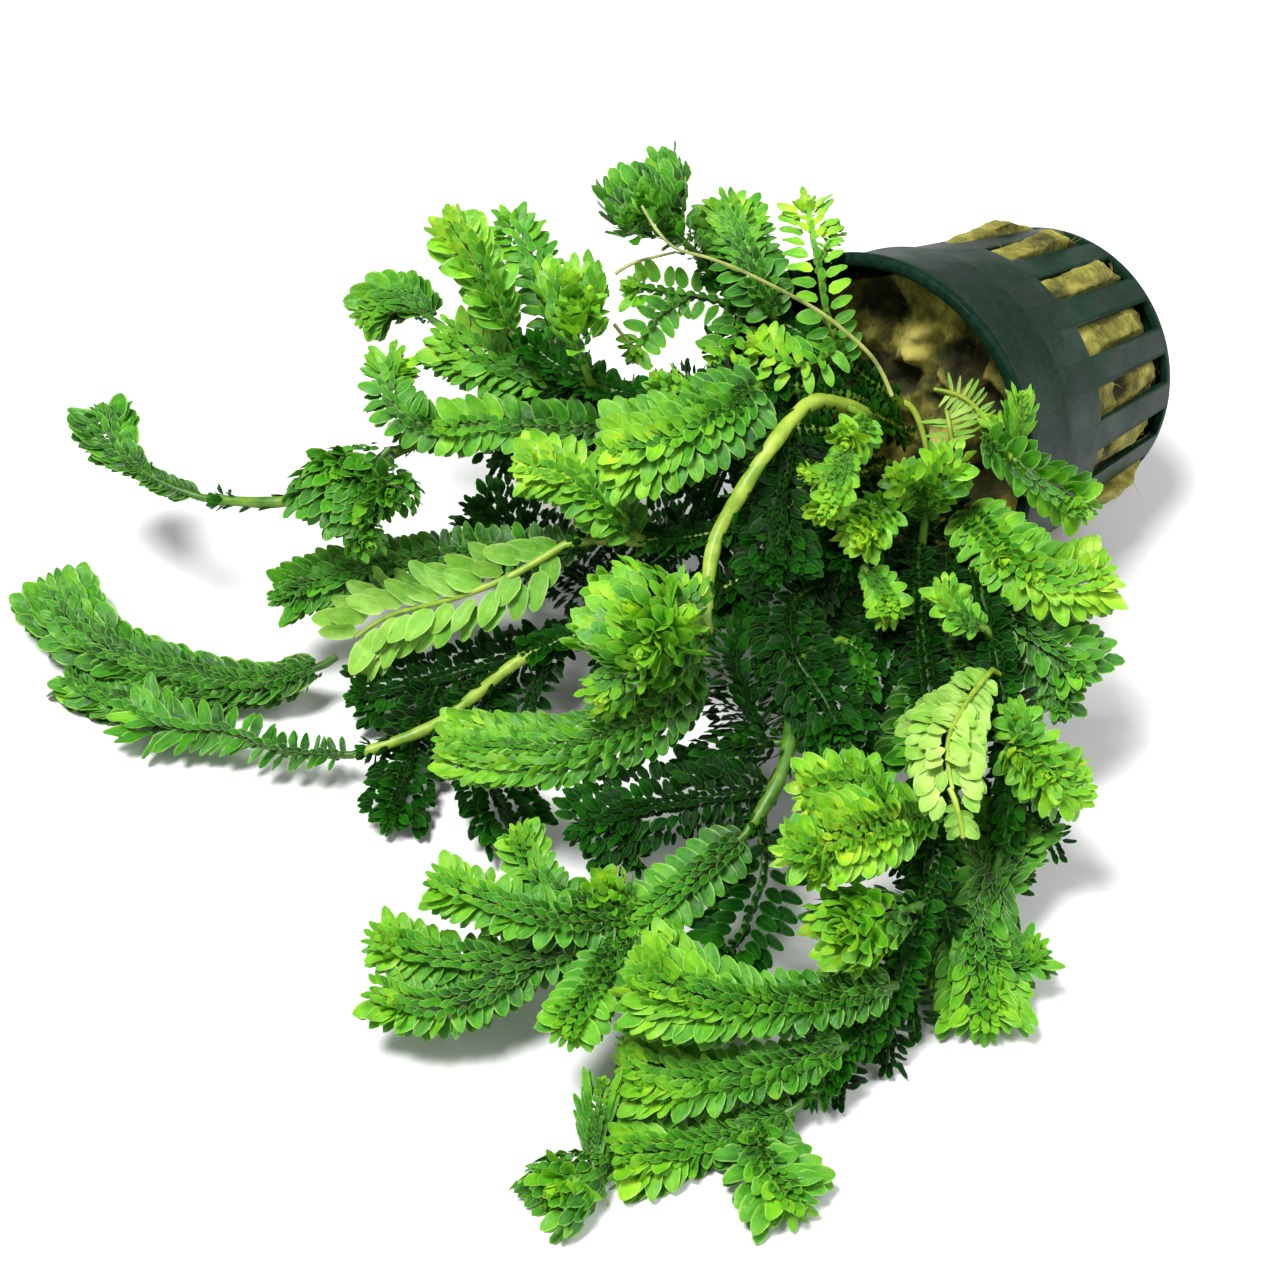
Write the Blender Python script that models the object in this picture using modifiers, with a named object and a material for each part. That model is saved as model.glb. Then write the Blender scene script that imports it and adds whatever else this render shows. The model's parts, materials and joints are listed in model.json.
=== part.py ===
"""Spikemoss in a slotted net pot that lies on its side, with its shoots spilling over the table.

Metres, +Z up, the table at Z = 0. The plant's places are read off one picture of it, as points
across and down a square picture, each with its height above the table in millimetres.
"""

import math
from collections import namedtuple

import bmesh
import bpy
import numpy as np
from mathutils import Matrix, Vector

MM = 0.001
GAP = 0.3 * MM

# The eye that looks at the plant, and the square picture that it sees
EYE = Vector((0.0077, -0.2445, 0.2432))
EYE_DIP = math.radians(42)
EYE_FIELD = math.radians(30)
PICTURE = 1280

# Net pot, in its own frame: base at Z = 0 and mouth up
POT_HEIGHT = 51 * MM
POT_RIM_RADIUS = 27.3 * MM
POT_COLLAR_RADIUS = 25.8 * MM
POT_COLLAR_HEIGHT = 13.5 * MM
POT_STEP = 0.7 * MM
POT_BASE_RADIUS = 22 * MM
POT_WALL = 1.0 * MM
POT_LIP_HEIGHT = 1.8 * MM
POT_SIDES = 32
POT_TILT = math.radians(14.5)
POT_HEADING = math.radians(229)
POT_MOUTH_SEEN = (866, 442)
SLOT_COUNT = 16
SLOT_WIDTH = 4.4 * MM
SLOT_TOP = 26 * MM
SLOT_BOTTOM = 2.2 * MM
SLOT_INNER_RADIUS = 15 * MM

# Mineral wool in the pot
WOOL_DEPTH_BELOW_RIM = 9 * MM
WOOL_SIDE_GAP = 0.4 * MM
WOOL_BULGE = -0.5 * MM
WOOL_BIG_BULGES = {3: 1.0 * MM, 4: 1.6 * MM, 5: 1.8 * MM, 14: 1.2 * MM, 15: 2.2 * MM}

# How the shoots settle against each other
SETTLE_ROUNDS = 200
LAST_ROUNDS = 70
NEIGHBOUR_ROUNDS = 10
NEIGHBOUR_MARGIN = 2.5 * MM
SAME_SIGHT = 0.010
KIN_REACH = 5 * MM
STATION_SPACING = 4.3 * MM
STEM_SPACING = 8 * MM
STEM_LIFT = 1.2 * MM
SAMPLE_SPACING = 1.8 * MM

LEAF_GREEN = (0.09, 0.34, 0.02)
TIP_GREEN = (0.32, 0.62, 0.03)
SHADE_GREEN = (0.02, 0.11, 0.02)
PALE_GREEN = (0.25, 0.46, 0.12)
STEM_GREEN = (0.26, 0.36, 0.08)
ROOT_TAN = (0.42, 0.38, 0.16)
POT_GREEN = (0.018, 0.045, 0.034)
WOOL_BROWN = (0.36, 0.24, 0.05)

# Half width along a shoot, as shares of its length and of its full half width
FORMS = {
    "leafy": ((0, 0.35), (0.1, 0.85), (0.25, 1), (0.78, 1), (0.93, 0.8), (1, 0.35)),
    "club": ((0, 0.14), (0.3, 0.2), (0.45, 0.7), (0.65, 1), (0.85, 0.95), (1, 0.45)),
    "far_club": ((0, 0.14), (0.5, 0.16), (0.62, 0.75), (0.78, 1), (0.9, 0.95), (1, 0.45)),
    "bud": ((0, 0.25), (0.25, 0.75), (0.6, 1), (0.85, 0.85), (1, 0.4)),
    "fan": ((0, 0.16), (0.3, 0.85), (0.6, 1), (0.85, 0.7), (1, 0.2)),
}
ROUND_FORMS = ("club", "far_club", "bud")

Stem = namedtuple("Stem", "name route thick")
Fork = namedtuple("Fork", "route width thick form")
Shoot = namedtuple("Shoot", "name stem route width thick form colour lean turn forks")


def fork(route, width, thick=2.2, form="leafy"):
    """A side branch: route of (across, down, height in mm), width and thickness in mm."""
    return Fork(route, width, thick, form)


def shoot(name, stem, route, width, thick=2.4, form="leafy", colour=LEAF_GREEN,
          lean=0.3, turn=0, forks=()):
    """A leafy shoot that grows from a stem or from another shoot's end.

    Lean 0 turns its flat side to the eye and lean 1 turns it up; turn then rolls it, in degrees.
    """
    return Shoot("shoot_" + name, stem, route, width, thick, form, colour, lean, turn, forks)


STEMS = (
    Stem("stem_upper", ((898, 404, 0), (862, 376, 46), (800, 335, 52), (740, 296, 58),
                        (702, 262, 62)), 1.9),
    Stem("stem_upper_left", ((884, 424, 0), (850, 398, 44), (760, 385, 47), (660, 398, 46),
                             (585, 382, 46), (520, 340, 49)), 2.0),
    Stem("stem_long_left", ((874, 446, 0), (830, 432, 40), (720, 428, 38), (600, 420, 37),
                            (493, 425, 35), (407, 447, 31), (330, 488, 27), (281, 502, 25),
                            (215, 500, 23)), 1.9),
    Stem("stem_thick_pale", ((908, 438, 0), (860, 412, 45), (812, 402, 51), (768, 451, 50),
                             (738, 498, 45), (716, 538, 41), (707, 590, 37), (706, 640, 33)), 2.1),
    Stem("stem_left", ((888, 466, 0), (850, 480, 34), (760, 520, 32), (680, 540, 29),
                       (610, 540, 27), (575, 541, 26)), 1.8),
    Stem("stem_lower_left", ((880, 488, 0), (850, 510, 27), (760, 570, 22), (660, 615, 17),
                             (590, 632, 14), (520, 660, 11), (440, 722, 8), (362, 753, 5)), 1.8),
    Stem("stem_middle", ((907, 490, 0), (868, 530, 28), (822, 610, 26), (797, 690, 22),
                         (786, 760, 17), (768, 800, 13), (752, 826, 11)), 2.1),
    Stem("stem_front", ((930, 492, 0), (918, 560, 27), (925, 660, 24), (937, 760, 18),
                        (932, 860, 13), (912, 940, 10), (892, 1000, 7), (842, 1056, 4),
                        (806, 1100, 3)), 2.1),
    Stem("stem_right", ((942, 464, 0), (962, 530, 33), (985, 610, 31), (1003, 700, 27),
                        (1010, 780, 21), (1003, 850, 15)), 1.9),
)

ROOTS = (
    Stem("aerial_root_long", ((892, 396, 52), (874, 359, 56), (830, 319, 61), (794, 297, 65),
                              (740, 270, 70), (700, 255, 72), (676, 250, 73), (655, 228, 74),
                              (642, 206, 75)), 0.7),
)

SHOOTS = (
    # Above the mouth
    shoot("top_club", "stem_upper", ((698, 256, 64), (675, 232, 67), (650, 200, 69), (632, 166, 70)),
          16, 9, "club", lean=0.1),
    shoot("top_branch", "stem_upper", ((760, 310, 52), (715, 300, 53), (665, 291, 54), (615, 284, 54)),
          8, forks=(fork(((690, 296, 53), (655, 320, 50), (625, 368, 45)), 7),
                    fork(((742, 306, 52), (735, 340, 49), (706, 378, 45)), 9))),
    shoot("top_inner", "stem_upper", ((775, 318, 57), (752, 270, 61), (735, 230, 64), (722, 196, 66)),
          11, 3, forks=(fork(((750, 265, 61), (722, 250, 62), (702, 222, 63)), 6),)),
    shoot("top_slender", "stem_upper", ((850, 366, 52), (828, 318, 58), (818, 262, 62), (803, 192, 66)),
          8.5, 2.2, colour=TIP_GREEN,
          forks=(fork(((818, 262, 62), (835, 236, 63), (838, 222, 63)), 3.5),
                 fork(((840, 345, 55), (806, 366, 52), (772, 358, 51), (745, 332, 52)), 9))),
    # Upper left
    shoot("round_club", "stem_upper_left", ((590, 382, 50), (578, 345, 56), (571, 300, 60),
                                            (568, 262, 61)), 12, 9, "club", lean=0.1),
    shoot("tall_braid", "stem_upper_left", ((512, 334, 51), (494, 298, 55), (468, 252, 60),
                                            (438, 214, 63)), 9, 4.5, colour=TIP_GREEN),
    shoot("arching", "stem_upper_left", ((560, 368, 48), (552, 320, 51), (535, 262, 54),
                                         (498, 212, 56)), 8.5, colour=SHADE_GREEN),
    shoot("broad_fan", "stem_upper_left", ((618, 392, 43), (560, 385, 42), (495, 362, 43),
                                           (440, 328, 44)), 12, 3),
    shoot("slender_lobes", "shoot_broad_fan", ((432, 320, 45), (412, 300, 45), (385, 298, 43),
                                               (358, 328, 40)), 6),
    shoot("curled", "stem_long_left", ((470, 430, 38), (420, 425, 38), (388, 395, 39),
                                       (398, 348, 40)), 8, lean=0.1),
    shoot("wide_leafed", "stem_long_left", ((612, 425, 41), (550, 428, 41), (490, 424, 40),
                                            (428, 430, 39)), 8.5, lean=0.1),
    shoot("middle_broad", "stem_upper_left", ((760, 385, 51), (710, 420, 50), (650, 445, 48),
                                              (596, 455, 46)), 14, 3,
          forks=(fork(((705, 420, 50), (680, 395, 52), (655, 372, 53)), 6, 2.6, "bud"),)),
    shoot("left_ovate", "stem_left", ((640, 538, 34), (600, 500, 37), (560, 470, 38),
                                      (512, 462, 37)), 10, colour=TIP_GREEN),
    shoot("under_shade", "stem_lower_left", ((640, 620, 16), (580, 575, 14), (520, 535, 13),
                                             (462, 502, 13)), 13, colour=SHADE_GREEN,
          forks=(fork(((610, 596, 15), (640, 550, 17), (690, 520, 19), (735, 500, 20)), 12),)),
    shoot("lower_shade", "stem_lower_left", ((580, 640, 11), (510, 660, 9), (430, 682, 6),
                                             (345, 700, 4)), 11, colour=SHADE_GREEN,
          forks=(fork(((440, 680, 6), (414, 740, 4), (402, 790, 3), (385, 830, 2.5)), 10.5),
                 fork(((500, 662, 8), (478, 735, 6), (500, 800, 4), (524, 846, 3)), 11.5))),
    # Left
    shoot("left_club", "stem_long_left", ((388, 450, 35), (368, 470, 37), (338, 498, 37),
                                          (318, 528, 34)), 17, 9, "bud", lean=0.1,
          forks=(fork(((372, 470, 37), (392, 485, 37), (400, 515, 34)), 9, 6, "bud"),
                 fork(((355, 500, 36), (362, 530, 33), (372, 560, 30)), 7, 5, "bud"))),
    shoot("far_flag", "stem_long_left", ((203, 498, 23), (160, 482, 24), (118, 450, 25),
                                         (96, 404, 26)), 7.5, 2, colour=TIP_GREEN),
    shoot("left_dark", "stem_left", ((590, 548, 23), (460, 555, 18), (350, 572, 16),
                                     (270, 600, 14)), 9, colour=SHADE_GREEN),
    shoot("pale_underside", "stem_left", ((565, 545, 26), (510, 577, 23), (450, 600, 19),
                                          (385, 618, 14), (335, 655, 9)), 12.5, 2,
          colour=PALE_GREEN, lean=0.15),
    shoot("long_sweep", "shoot_pale_underside", ((326, 664, 8), (265, 684, 5), (180, 672, 4.5),
                                                 (82, 640, 4.5), (14, 576, 6)), 10, 4.5, lean=0.55,
          forks=(fork(((255, 684, 5), (190, 706, 3), (110, 700, 2.5), (60, 675, 2.5)), 6, 2.2),)),
    shoot("lower_sweep", "stem_lower_left", ((352, 755, 5), (284, 752, 4), (228, 732, 3.5),
                                             (170, 728, 3), (118, 706, 3)), 8, 2.2, lean=0.6),
    shoot("ridged_finger", "stem_thick_pale", ((700, 652, 31), (655, 715, 27), (575, 748, 22),
                                               (500, 750, 18), (438, 742, 16)), 9.5, 5.5,
          colour=TIP_GREEN),
    shoot("big_club", "stem_thick_pale", ((700, 622, 38), (672, 640, 42), (640, 622, 44),
                                          (600, 596, 43)), 18, 10, "bud", lean=0.1,
          forks=(fork(((668, 630, 42), (682, 605, 42), (690, 580, 40)), 8, 6, "bud"),
                 fork(((655, 640, 40), (620, 685, 33), (580, 702, 29)), 8, 5, "bud"))),
    shoot("hanging_dark", "stem_middle", ((776, 790, 10), (700, 800, 12), (630, 812, 12),
                                          (565, 838, 10)), 12, 2.6, colour=SHADE_GREEN,
          forks=(fork(((640, 810, 12), (625, 845, 7), (640, 872, 5)), 7),)),
    shoot("leafy_end", "stem_middle", ((746, 834, 10), (700, 874, 8), (650, 912, 6),
                                       (600, 938, 5)), 9, 2.6, lean=0.5,
          forks=(fork(((640, 918, 6), (560, 922, 7), (490, 902, 8), (425, 876, 9)), 8, 3),
                 fork(((640, 918, 6), (570, 905, 9), (532, 870, 11), (517, 822, 14)), 6.5, 3),
                 fork(((630, 925, 6), (612, 895, 10), (602, 872, 12)), 7.5, 4, "bud"),
                 fork(((630, 928, 5), (594, 985, 4), (560, 1042, 3)), 8, 2.4))),
    shoot("twin_tips", "shoot_leafy_end", ((590, 946, 4.6), (520, 962, 4.5), (440, 958, 4.5),
                                           (364, 936, 5.5)), 8, 3.2, lean=0.5,
          forks=(fork(((540, 958, 4.5), (490, 992, 3.2), (430, 1008, 3), (366, 990, 3.2)), 8, 3),)),
    shoot("shaded_buds", "stem_middle", ((790, 742, 14), (755, 745, 15), (720, 758, 14),
                                         (684, 770, 13)), 9, 5, "bud", colour=SHADE_GREEN,
          forks=(fork(((765, 745, 15), (745, 700, 16), (735, 650, 17), (752, 600, 18)), 13),)),
    shoot("low_shade", "stem_middle", ((760, 822, 6), (765, 870, 4), (745, 925, 3),
                                       (720, 970, 2.5)), 12, 2.2, colour=SHADE_GREEN, lean=0.7),
    # Front
    shoot("front_head", "stem_front", ((896, 985, 11), (830, 1000, 11), (750, 1000, 11),
                                       (682, 982, 12), (612, 948, 13)), 13.5, 5, lean=0.5),
    shoot("front_second", "stem_front", ((846, 1046, 7), (780, 1068, 7), (700, 1080, 7),
                                         (606, 1070, 7.5)), 12.5, 4, lean=0.5),
    shoot("front_third", "stem_front", ((796, 1108, 3), (735, 1135, 3.4), (670, 1155, 3.8),
                                        (602, 1166, 4)), 10, 4, lean=0.6,
          forks=(fork(((690, 1150, 3.6), (640, 1130, 3.6), (590, 1168, 4), (528, 1218, 4.5)),
                      12, 7, "far_club"),
                 fork(((612, 1163, 4), (596, 1115, 6), (606, 1066, 9)), 5),
                 fork(((765, 1120, 3.2), (760, 1155, 3.2), (780, 1185, 3), (806, 1216, 3)), 12))),
    shoot("bright_cluster", "stem_front", ((940, 812, 20), (895, 820, 23), (850, 835, 25),
                                           (815, 838, 26)), 11, 7, "bud", TIP_GREEN, 0.1,
          forks=(fork(((895, 815, 23), (850, 785, 26), (795, 797, 28)), 9, 6, "bud"),
                 fork(((885, 810, 23), (872, 780, 25), (850, 770, 26)), 9, 5, "bud"),
                 fork(((850, 840, 24), (810, 852, 25), (778, 838, 26)), 7, 5, "bud"))),
    shoot("bright_club", "stem_front", ((920, 905, 13), (890, 915, 15), (850, 930, 15),
                                        (808, 945, 14)), 12, 7, "bud", lean=0.2),
    # Right
    shoot("pale_fan", "stem_right", ((990, 672, 31), (966, 702, 33), (945, 748, 33),
                                     (955, 815, 30)), 11.5, 2, "fan", PALE_GREEN, 0,
          forks=(fork(((968, 698, 33), (930, 715, 33), (908, 745, 32)), 5, 1.8),
                 fork(((955, 800, 30), (962, 828, 27), (963, 850, 25)), 4, 1.8))),
    shoot("right_head", "stem_right", ((1010, 740, 26), (1035, 762, 26), (1062, 785, 24),
                                       (1088, 782, 22)), 10, 4, colour=TIP_GREEN,
          forks=(fork(((1020, 748, 26), (1018, 718, 28), (1005, 700, 29)), 7, 3),)),
    shoot("right_dark", "stem_right", ((985, 596, 28), (1025, 630, 25), (1066, 660, 22),
                                       (1088, 690, 20)), 13, 3, colour=SHADE_GREEN,
          forks=(fork(((1056, 655, 23), (1058, 695, 19), (1060, 725, 17)), 8),
                 fork(((992, 602, 27), (960, 650, 24), (940, 715, 20), (920, 785, 16)), 14))),
    shoot("right_long", "stem_right", ((998, 862, 14), (978, 915, 9), (982, 975, 5),
                                       (985, 1038, 3)), 12, 3, lean=0.5,
          forks=(fork(((983, 954, 6), (1015, 962, 6), (1050, 942, 7)), 7),
                 fork(((976, 920, 9), (945, 960, 5), (940, 1005, 3)), 6),
                 fork(((985, 900, 11), (1012, 850, 13), (1034, 812, 14)), 9),
                 fork(((988, 880, 12), (969, 845, 12), (966, 800, 13)), 11.2))),
    # At the mouth
    shoot("rim_bright", "stem_right", ((966, 512, 39), (1000, 548, 40), (1055, 582, 38),
                                       (1112, 570, 37)), 11, 3.4, colour=TIP_GREEN, lean=0.1),
    shoot("rim_twin", "stem_front", ((925, 520, 40), (925, 500, 44), (945, 475, 46),
                                     (950, 448, 47)), 8.5, 3.6, "bud", TIP_GREEN, 0,
          forks=(fork(((925, 500, 44), (902, 482, 46), (895, 458, 46)), 7, 3.4, "bud"),)),
    shoot("rim_edge", "stem_right", ((950, 468, 40), (1000, 442, 45), (1045, 482, 42),
                                     (1096, 516, 39)), 7, 3, lean=0, turn=60,
          forks=(fork(((1008, 452, 45), (1016, 420, 48), (1022, 386, 50)), 3.5, 2, "bud"),)),
    shoot("mouth_comb", "stem_upper", ((884, 396, 46), (910, 398, 50), (945, 400, 50),
                                       (974, 418, 48)), 6.5, 2, lean=0.2, turn=20),
    shoot("small_rosette", "stem_front", ((915, 570, 33), (895, 578, 36), (882, 595, 37),
                                          (872, 620, 36)), 7.5, 4, "bud", TIP_GREEN, 0.1),
    shoot("ovate_rosette", "stem_right", ((985, 628, 35), (968, 622, 38), (950, 605, 39),
                                          (945, 580, 39)), 7.5, 3.4, "bud", TIP_GREEN, 0.1),
    shoot("mouth_scales", "stem_middle", ((882, 508, 37), (885, 505, 42), (868, 525, 43),
                                          (848, 548, 42)), 8, 3.6, colour=TIP_GREEN, lean=0.1),
    shoot("centre_hanging", "stem_middle", ((832, 580, 33), (795, 600, 35), (792, 650, 32),
                                            (825, 700, 28), (848, 752, 24)), 11, 2.6,
          colour=SHADE_GREEN, lean=0.1,
          forks=(fork(((826, 700, 28), (850, 690, 29), (858, 656, 30)), 6, 2.4),)),
    shoot("centre_shade", "stem_front", ((922, 600, 25), (880, 640, 22), (850, 700, 18),
                                         (832, 770, 14)), 15, colour=SHADE_GREEN),
    shoot("centre_upper", "stem_thick_pale", ((790, 425, 47), (785, 480, 44), (778, 530, 40),
                                              (775, 590, 36)), 12, colour=SHADE_GREEN,
          forks=(fork(((788, 450, 46), (826, 500, 43), (848, 575, 38)), 10),)),
    shoot("bright_fan", "stem_thick_pale", ((866, 416, 48), (864, 434, 53), (850, 442, 53),
                                            (832, 448, 52)), 7.5, 2.6, "bud", TIP_GREEN, 0.1,
          forks=(fork(((850, 440, 53), (825, 478, 50), (800, 472, 49)), 4, 2.4, "bud"),
                 fork(((850, 445, 53), (838, 490, 49), (820, 520, 46)), 5.5, 3, "bud"))),
)


def sight_line(across, down):
    """Unit direction from the eye through a point of the picture."""
    reach = PICTURE / 2 / math.tan(EYE_FIELD / 2)
    sideways = (across - PICTURE / 2) / reach
    upwards = (PICTURE / 2 - down) / reach
    forward = Vector((0, math.cos(EYE_DIP), -math.sin(EYE_DIP)))
    up = Vector((0, math.sin(EYE_DIP), math.cos(EYE_DIP)))
    return (forward + Vector((1, 0, 0)) * sideways + up * upwards).normalized()


def seen(across, down, height):
    """The place at a height above the table that shows at a point of the picture."""
    line = sight_line(across, down)
    return EYE + line * ((height - EYE.z) / line.z)


def pot_frame():
    """The pot's own frame in the world: its base edge on the table, its mouth where it is seen."""
    mouth_height = POT_BASE_RADIUS * math.cos(POT_TILT) + POT_HEIGHT * math.sin(POT_TILT)
    axis = Vector((math.cos(POT_HEADING) * math.cos(POT_TILT),
                   math.sin(POT_HEADING) * math.cos(POT_TILT),
                   math.sin(POT_TILT)))
    base = seen(*POT_MOUTH_SEEN, mouth_height) - axis * POT_HEIGHT
    turn = axis.to_track_quat("Z", "Y").to_matrix().to_4x4()
    return Matrix.Translation(base) @ turn


def on_wool(across, down, clear):
    """The place on the wool's top, a little clear of it, that shows at a point of the picture."""
    frame = pot_frame()
    axis = frame.to_3x3().col[2]
    top = frame @ Vector((0, 0, POT_HEIGHT - WOOL_DEPTH_BELOW_RIM + clear))
    line = sight_line(across, down)
    return EYE + line * ((top - EYE).dot(axis) / line.dot(axis))


def collection(name):
    """A collection of the scene, made at its first use."""
    found = bpy.data.collections.get(name)
    if found is None:
        found = bpy.data.collections.new(name)
        bpy.context.scene.collection.children.link(found)
    return found


def material(name, colour, roughness):
    """A plain Principled material."""
    made = bpy.data.materials.new(name)
    made.use_nodes = True
    shader = made.node_tree.nodes["Principled BSDF"]
    shader.inputs["Base Color"].default_value = (*colour, 1)
    shader.inputs["Roughness"].default_value = roughness
    shader.inputs["Metallic"].default_value = 0
    return made


def new_object(name, data, where="spikemoss"):
    """An object in a collection."""
    made = bpy.data.objects.new(name, data)
    collection(where).objects.link(made)
    return made


def as_guide(piece):
    """Marks a piece as a cutter or a union's second half."""
    piece.hide_render = True
    piece.display_type = "WIRE"


def boolean(piece, other, operation, solver="EXACT"):
    """Cuts a piece by another, or joins the other to it."""
    step = piece.modifiers.new(operation.title(), "BOOLEAN")
    step.operation = operation
    step.solver = solver
    step.object = other


def wall_radius(height):
    """The pot's outer radius below the collar, at a height above its base."""
    below_collar = POT_HEIGHT - POT_COLLAR_HEIGHT
    share = min(max(height / below_collar, 0), 1)
    return POT_BASE_RADIUS + (POT_COLLAR_RADIUS - POT_STEP - POT_BASE_RADIUS) * share


def net_pot(frame):
    """The pot: a turned wall with a lip and a collar, cut by slots that stop above the base."""
    below_collar = POT_HEIGHT - POT_COLLAR_HEIGHT
    profile = (
        (0, POT_WALL),
        (POT_BASE_RADIUS - 2 * POT_WALL, POT_WALL),
        (POT_BASE_RADIUS - POT_WALL, 2 * POT_WALL),
        (wall_radius(below_collar) - POT_WALL, below_collar - POT_WALL),
        (POT_COLLAR_RADIUS - POT_WALL, below_collar + POT_WALL),
        (POT_RIM_RADIUS - 2 * POT_WALL, POT_HEIGHT - POT_WALL / 2),
        (POT_RIM_RADIUS - 1.2 * POT_WALL, POT_HEIGHT),
        (POT_RIM_RADIUS - POT_WALL / 3, POT_HEIGHT - POT_WALL / 3),
        (POT_RIM_RADIUS, POT_HEIGHT - POT_LIP_HEIGHT / 2),
        (POT_RIM_RADIUS - POT_WALL / 3, POT_HEIGHT - POT_LIP_HEIGHT),
        (POT_COLLAR_RADIUS, below_collar),
        (wall_radius(below_collar), below_collar - POT_STEP),
        (POT_BASE_RADIUS, POT_WALL),
        (POT_BASE_RADIUS - POT_WALL, 0),
        (0, 0),
    )
    mesh = bpy.data.meshes.new("net_pot")
    edges = [(i, i + 1) for i in range(len(profile) - 1)]
    mesh.from_pydata([(radius, 0, height) for radius, height in profile], edges, [])
    pot = new_object("net_pot", mesh)
    turned = pot.modifiers.new("Turn", "SCREW")
    turned.angle = math.tau
    turned.steps = POT_SIDES
    turned.render_steps = POT_SIDES
    turned.use_merge_vertices = True
    turned.merge_threshold = 0.00001
    turned.use_smooth_shade = True
    boolean(pot, slot_cutter(frame), "DIFFERENCE")
    pot.matrix_world = frame
    mesh.materials.append(material("pot plastic", POT_GREEN, 0.4))
    return pot


def slot_cutter(frame):
    """One cutter for all slots: wedges that pass through the wall."""
    bm = bmesh.new()
    inner, outer = SLOT_INNER_RADIUS, POT_RIM_RADIUS + 5 * MM
    slope = SLOT_WIDTH / POT_BASE_RADIUS
    for index in range(SLOT_COUNT):
        turn = Matrix.Rotation(math.tau * index / SLOT_COUNT, 4, "Z")
        box = bmesh.ops.create_cube(bm, size=1)["verts"]
        for corner in box:
            is_outer = corner.co.x > 0
            half = slope * (outer if is_outer else inner) / 2
            height = SLOT_TOP if corner.co.z > 0 else SLOT_BOTTOM
            corner.co = (outer if is_outer else inner, math.copysign(half, corner.co.y), height)
        bmesh.ops.transform(bm, matrix=turn, verts=box)
    mesh = bpy.data.meshes.new("slot_cutter")
    bm.to_mesh(mesh)
    bm.free()
    cutter = new_object("slot_cutter", mesh, "cutters")
    cutter.matrix_world = frame
    as_guide(cutter)
    return cutter


def wool_ring(height, bulge_share):
    """One ring of the wool: flush with the pot's inside, and out through the slots where asked."""
    inside = min(wall_radius(height), POT_BASE_RADIUS - 3.5 * MM + height) - POT_WALL - WOOL_SIDE_GAP
    half = SLOT_WIDTH / 2 / POT_BASE_RADIUS - 0.4 * MM / inside
    places = []
    for index in range(SLOT_COUNT):
        middle = math.tau * index / SLOT_COUNT
        bulge = WOOL_BIG_BULGES.get(index, WOOL_BULGE)
        outside = inside + (POT_WALL + WOOL_SIDE_GAP + bulge) * bulge_share
        for angle, radius in ((-half, inside), (-half * 0.98, outside), (half * 0.98, outside),
                              (half, inside)):
            places.append((radius * math.cos(middle + angle), radius * math.sin(middle + angle),
                           height))
    return places


def rockwool(frame):
    """The plug of wool, with its bulges in the slots and a low dome in the mouth."""
    top = POT_HEIGHT - WOOL_DEPTH_BELOW_RIM
    slot_bottom = 2.6 * MM
    slot_top = SLOT_TOP - 0.5 * MM
    levels = ((1.5 * MM, 0), (slot_bottom, 0), (slot_bottom + 0.1 * MM, 0.7),
              (slot_bottom + 7 * MM, 1.0), (slot_top - 0.1 * MM, 0.35), (slot_top, 0))
    bm = bmesh.new()
    rings = []
    for height, share in levels:
        rings.append([bm.verts.new(place) for place in wool_ring(height, share)])
    rings.append([bm.verts.new((v.co.x, v.co.y, top)) for v in rings[-1]])
    for lower, upper in zip(rings, rings[1:]):
        for i in range(len(lower)):
            j = (i + 1) % len(lower)
            bm.faces.new((lower[i], lower[j], upper[j], upper[i]))
    bm.faces.new(rings[-1])
    bm.faces.new(rings[0][::-1])
    mesh = bpy.data.meshes.new("rockwool")
    bm.to_mesh(mesh)
    bm.free()
    wool = new_object("rockwool", mesh)
    wool.matrix_world = frame
    mesh.materials.append(material("mineral wool", WOOL_BROWN, 0.9))
    return wool


def curve_weights(place, count):
    """Control points and weights of a smooth curve through them, and of its direction."""
    segment = min(int(place), count - 2)
    t = place - segment
    weights = [-0.5 * t + t * t - 0.5 * t ** 3,
               1 - 2.5 * t * t + 1.5 * t ** 3,
               0.5 * t + 2 * t * t - 1.5 * t ** 3,
               -0.5 * t * t + 0.5 * t ** 3]
    slopes = [-0.5 + 2 * t - 1.5 * t * t,
              -5 * t + 4.5 * t * t,
              0.5 + 4 * t - 4.5 * t * t,
              -t + 1.5 * t * t]
    nodes = [segment - 1, segment, segment + 1, segment + 2]
    for values in (weights, slopes):
        if nodes[0] < 0:
            values[1] += 2 * values[0]
            values[2] -= values[0]
        if nodes[3] >= count:
            values[2] += 2 * values[3]
            values[1] -= values[3]
    if nodes[0] < 0:
        weights[0] = slopes[0] = 0
        nodes[0] = 0
    if nodes[3] >= count:
        weights[3] = slopes[3] = 0
        nodes[3] = count - 1
    return nodes, weights, slopes


def at_share(form, share):
    """A form's half width at a share of its length."""
    for (start, low), (end, high) in zip(FORMS[form], FORMS[form][1:]):
        if share <= end:
            return low + (high - low) * (share - start) / (end - start)
    return FORMS[form][-1][1]


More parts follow.
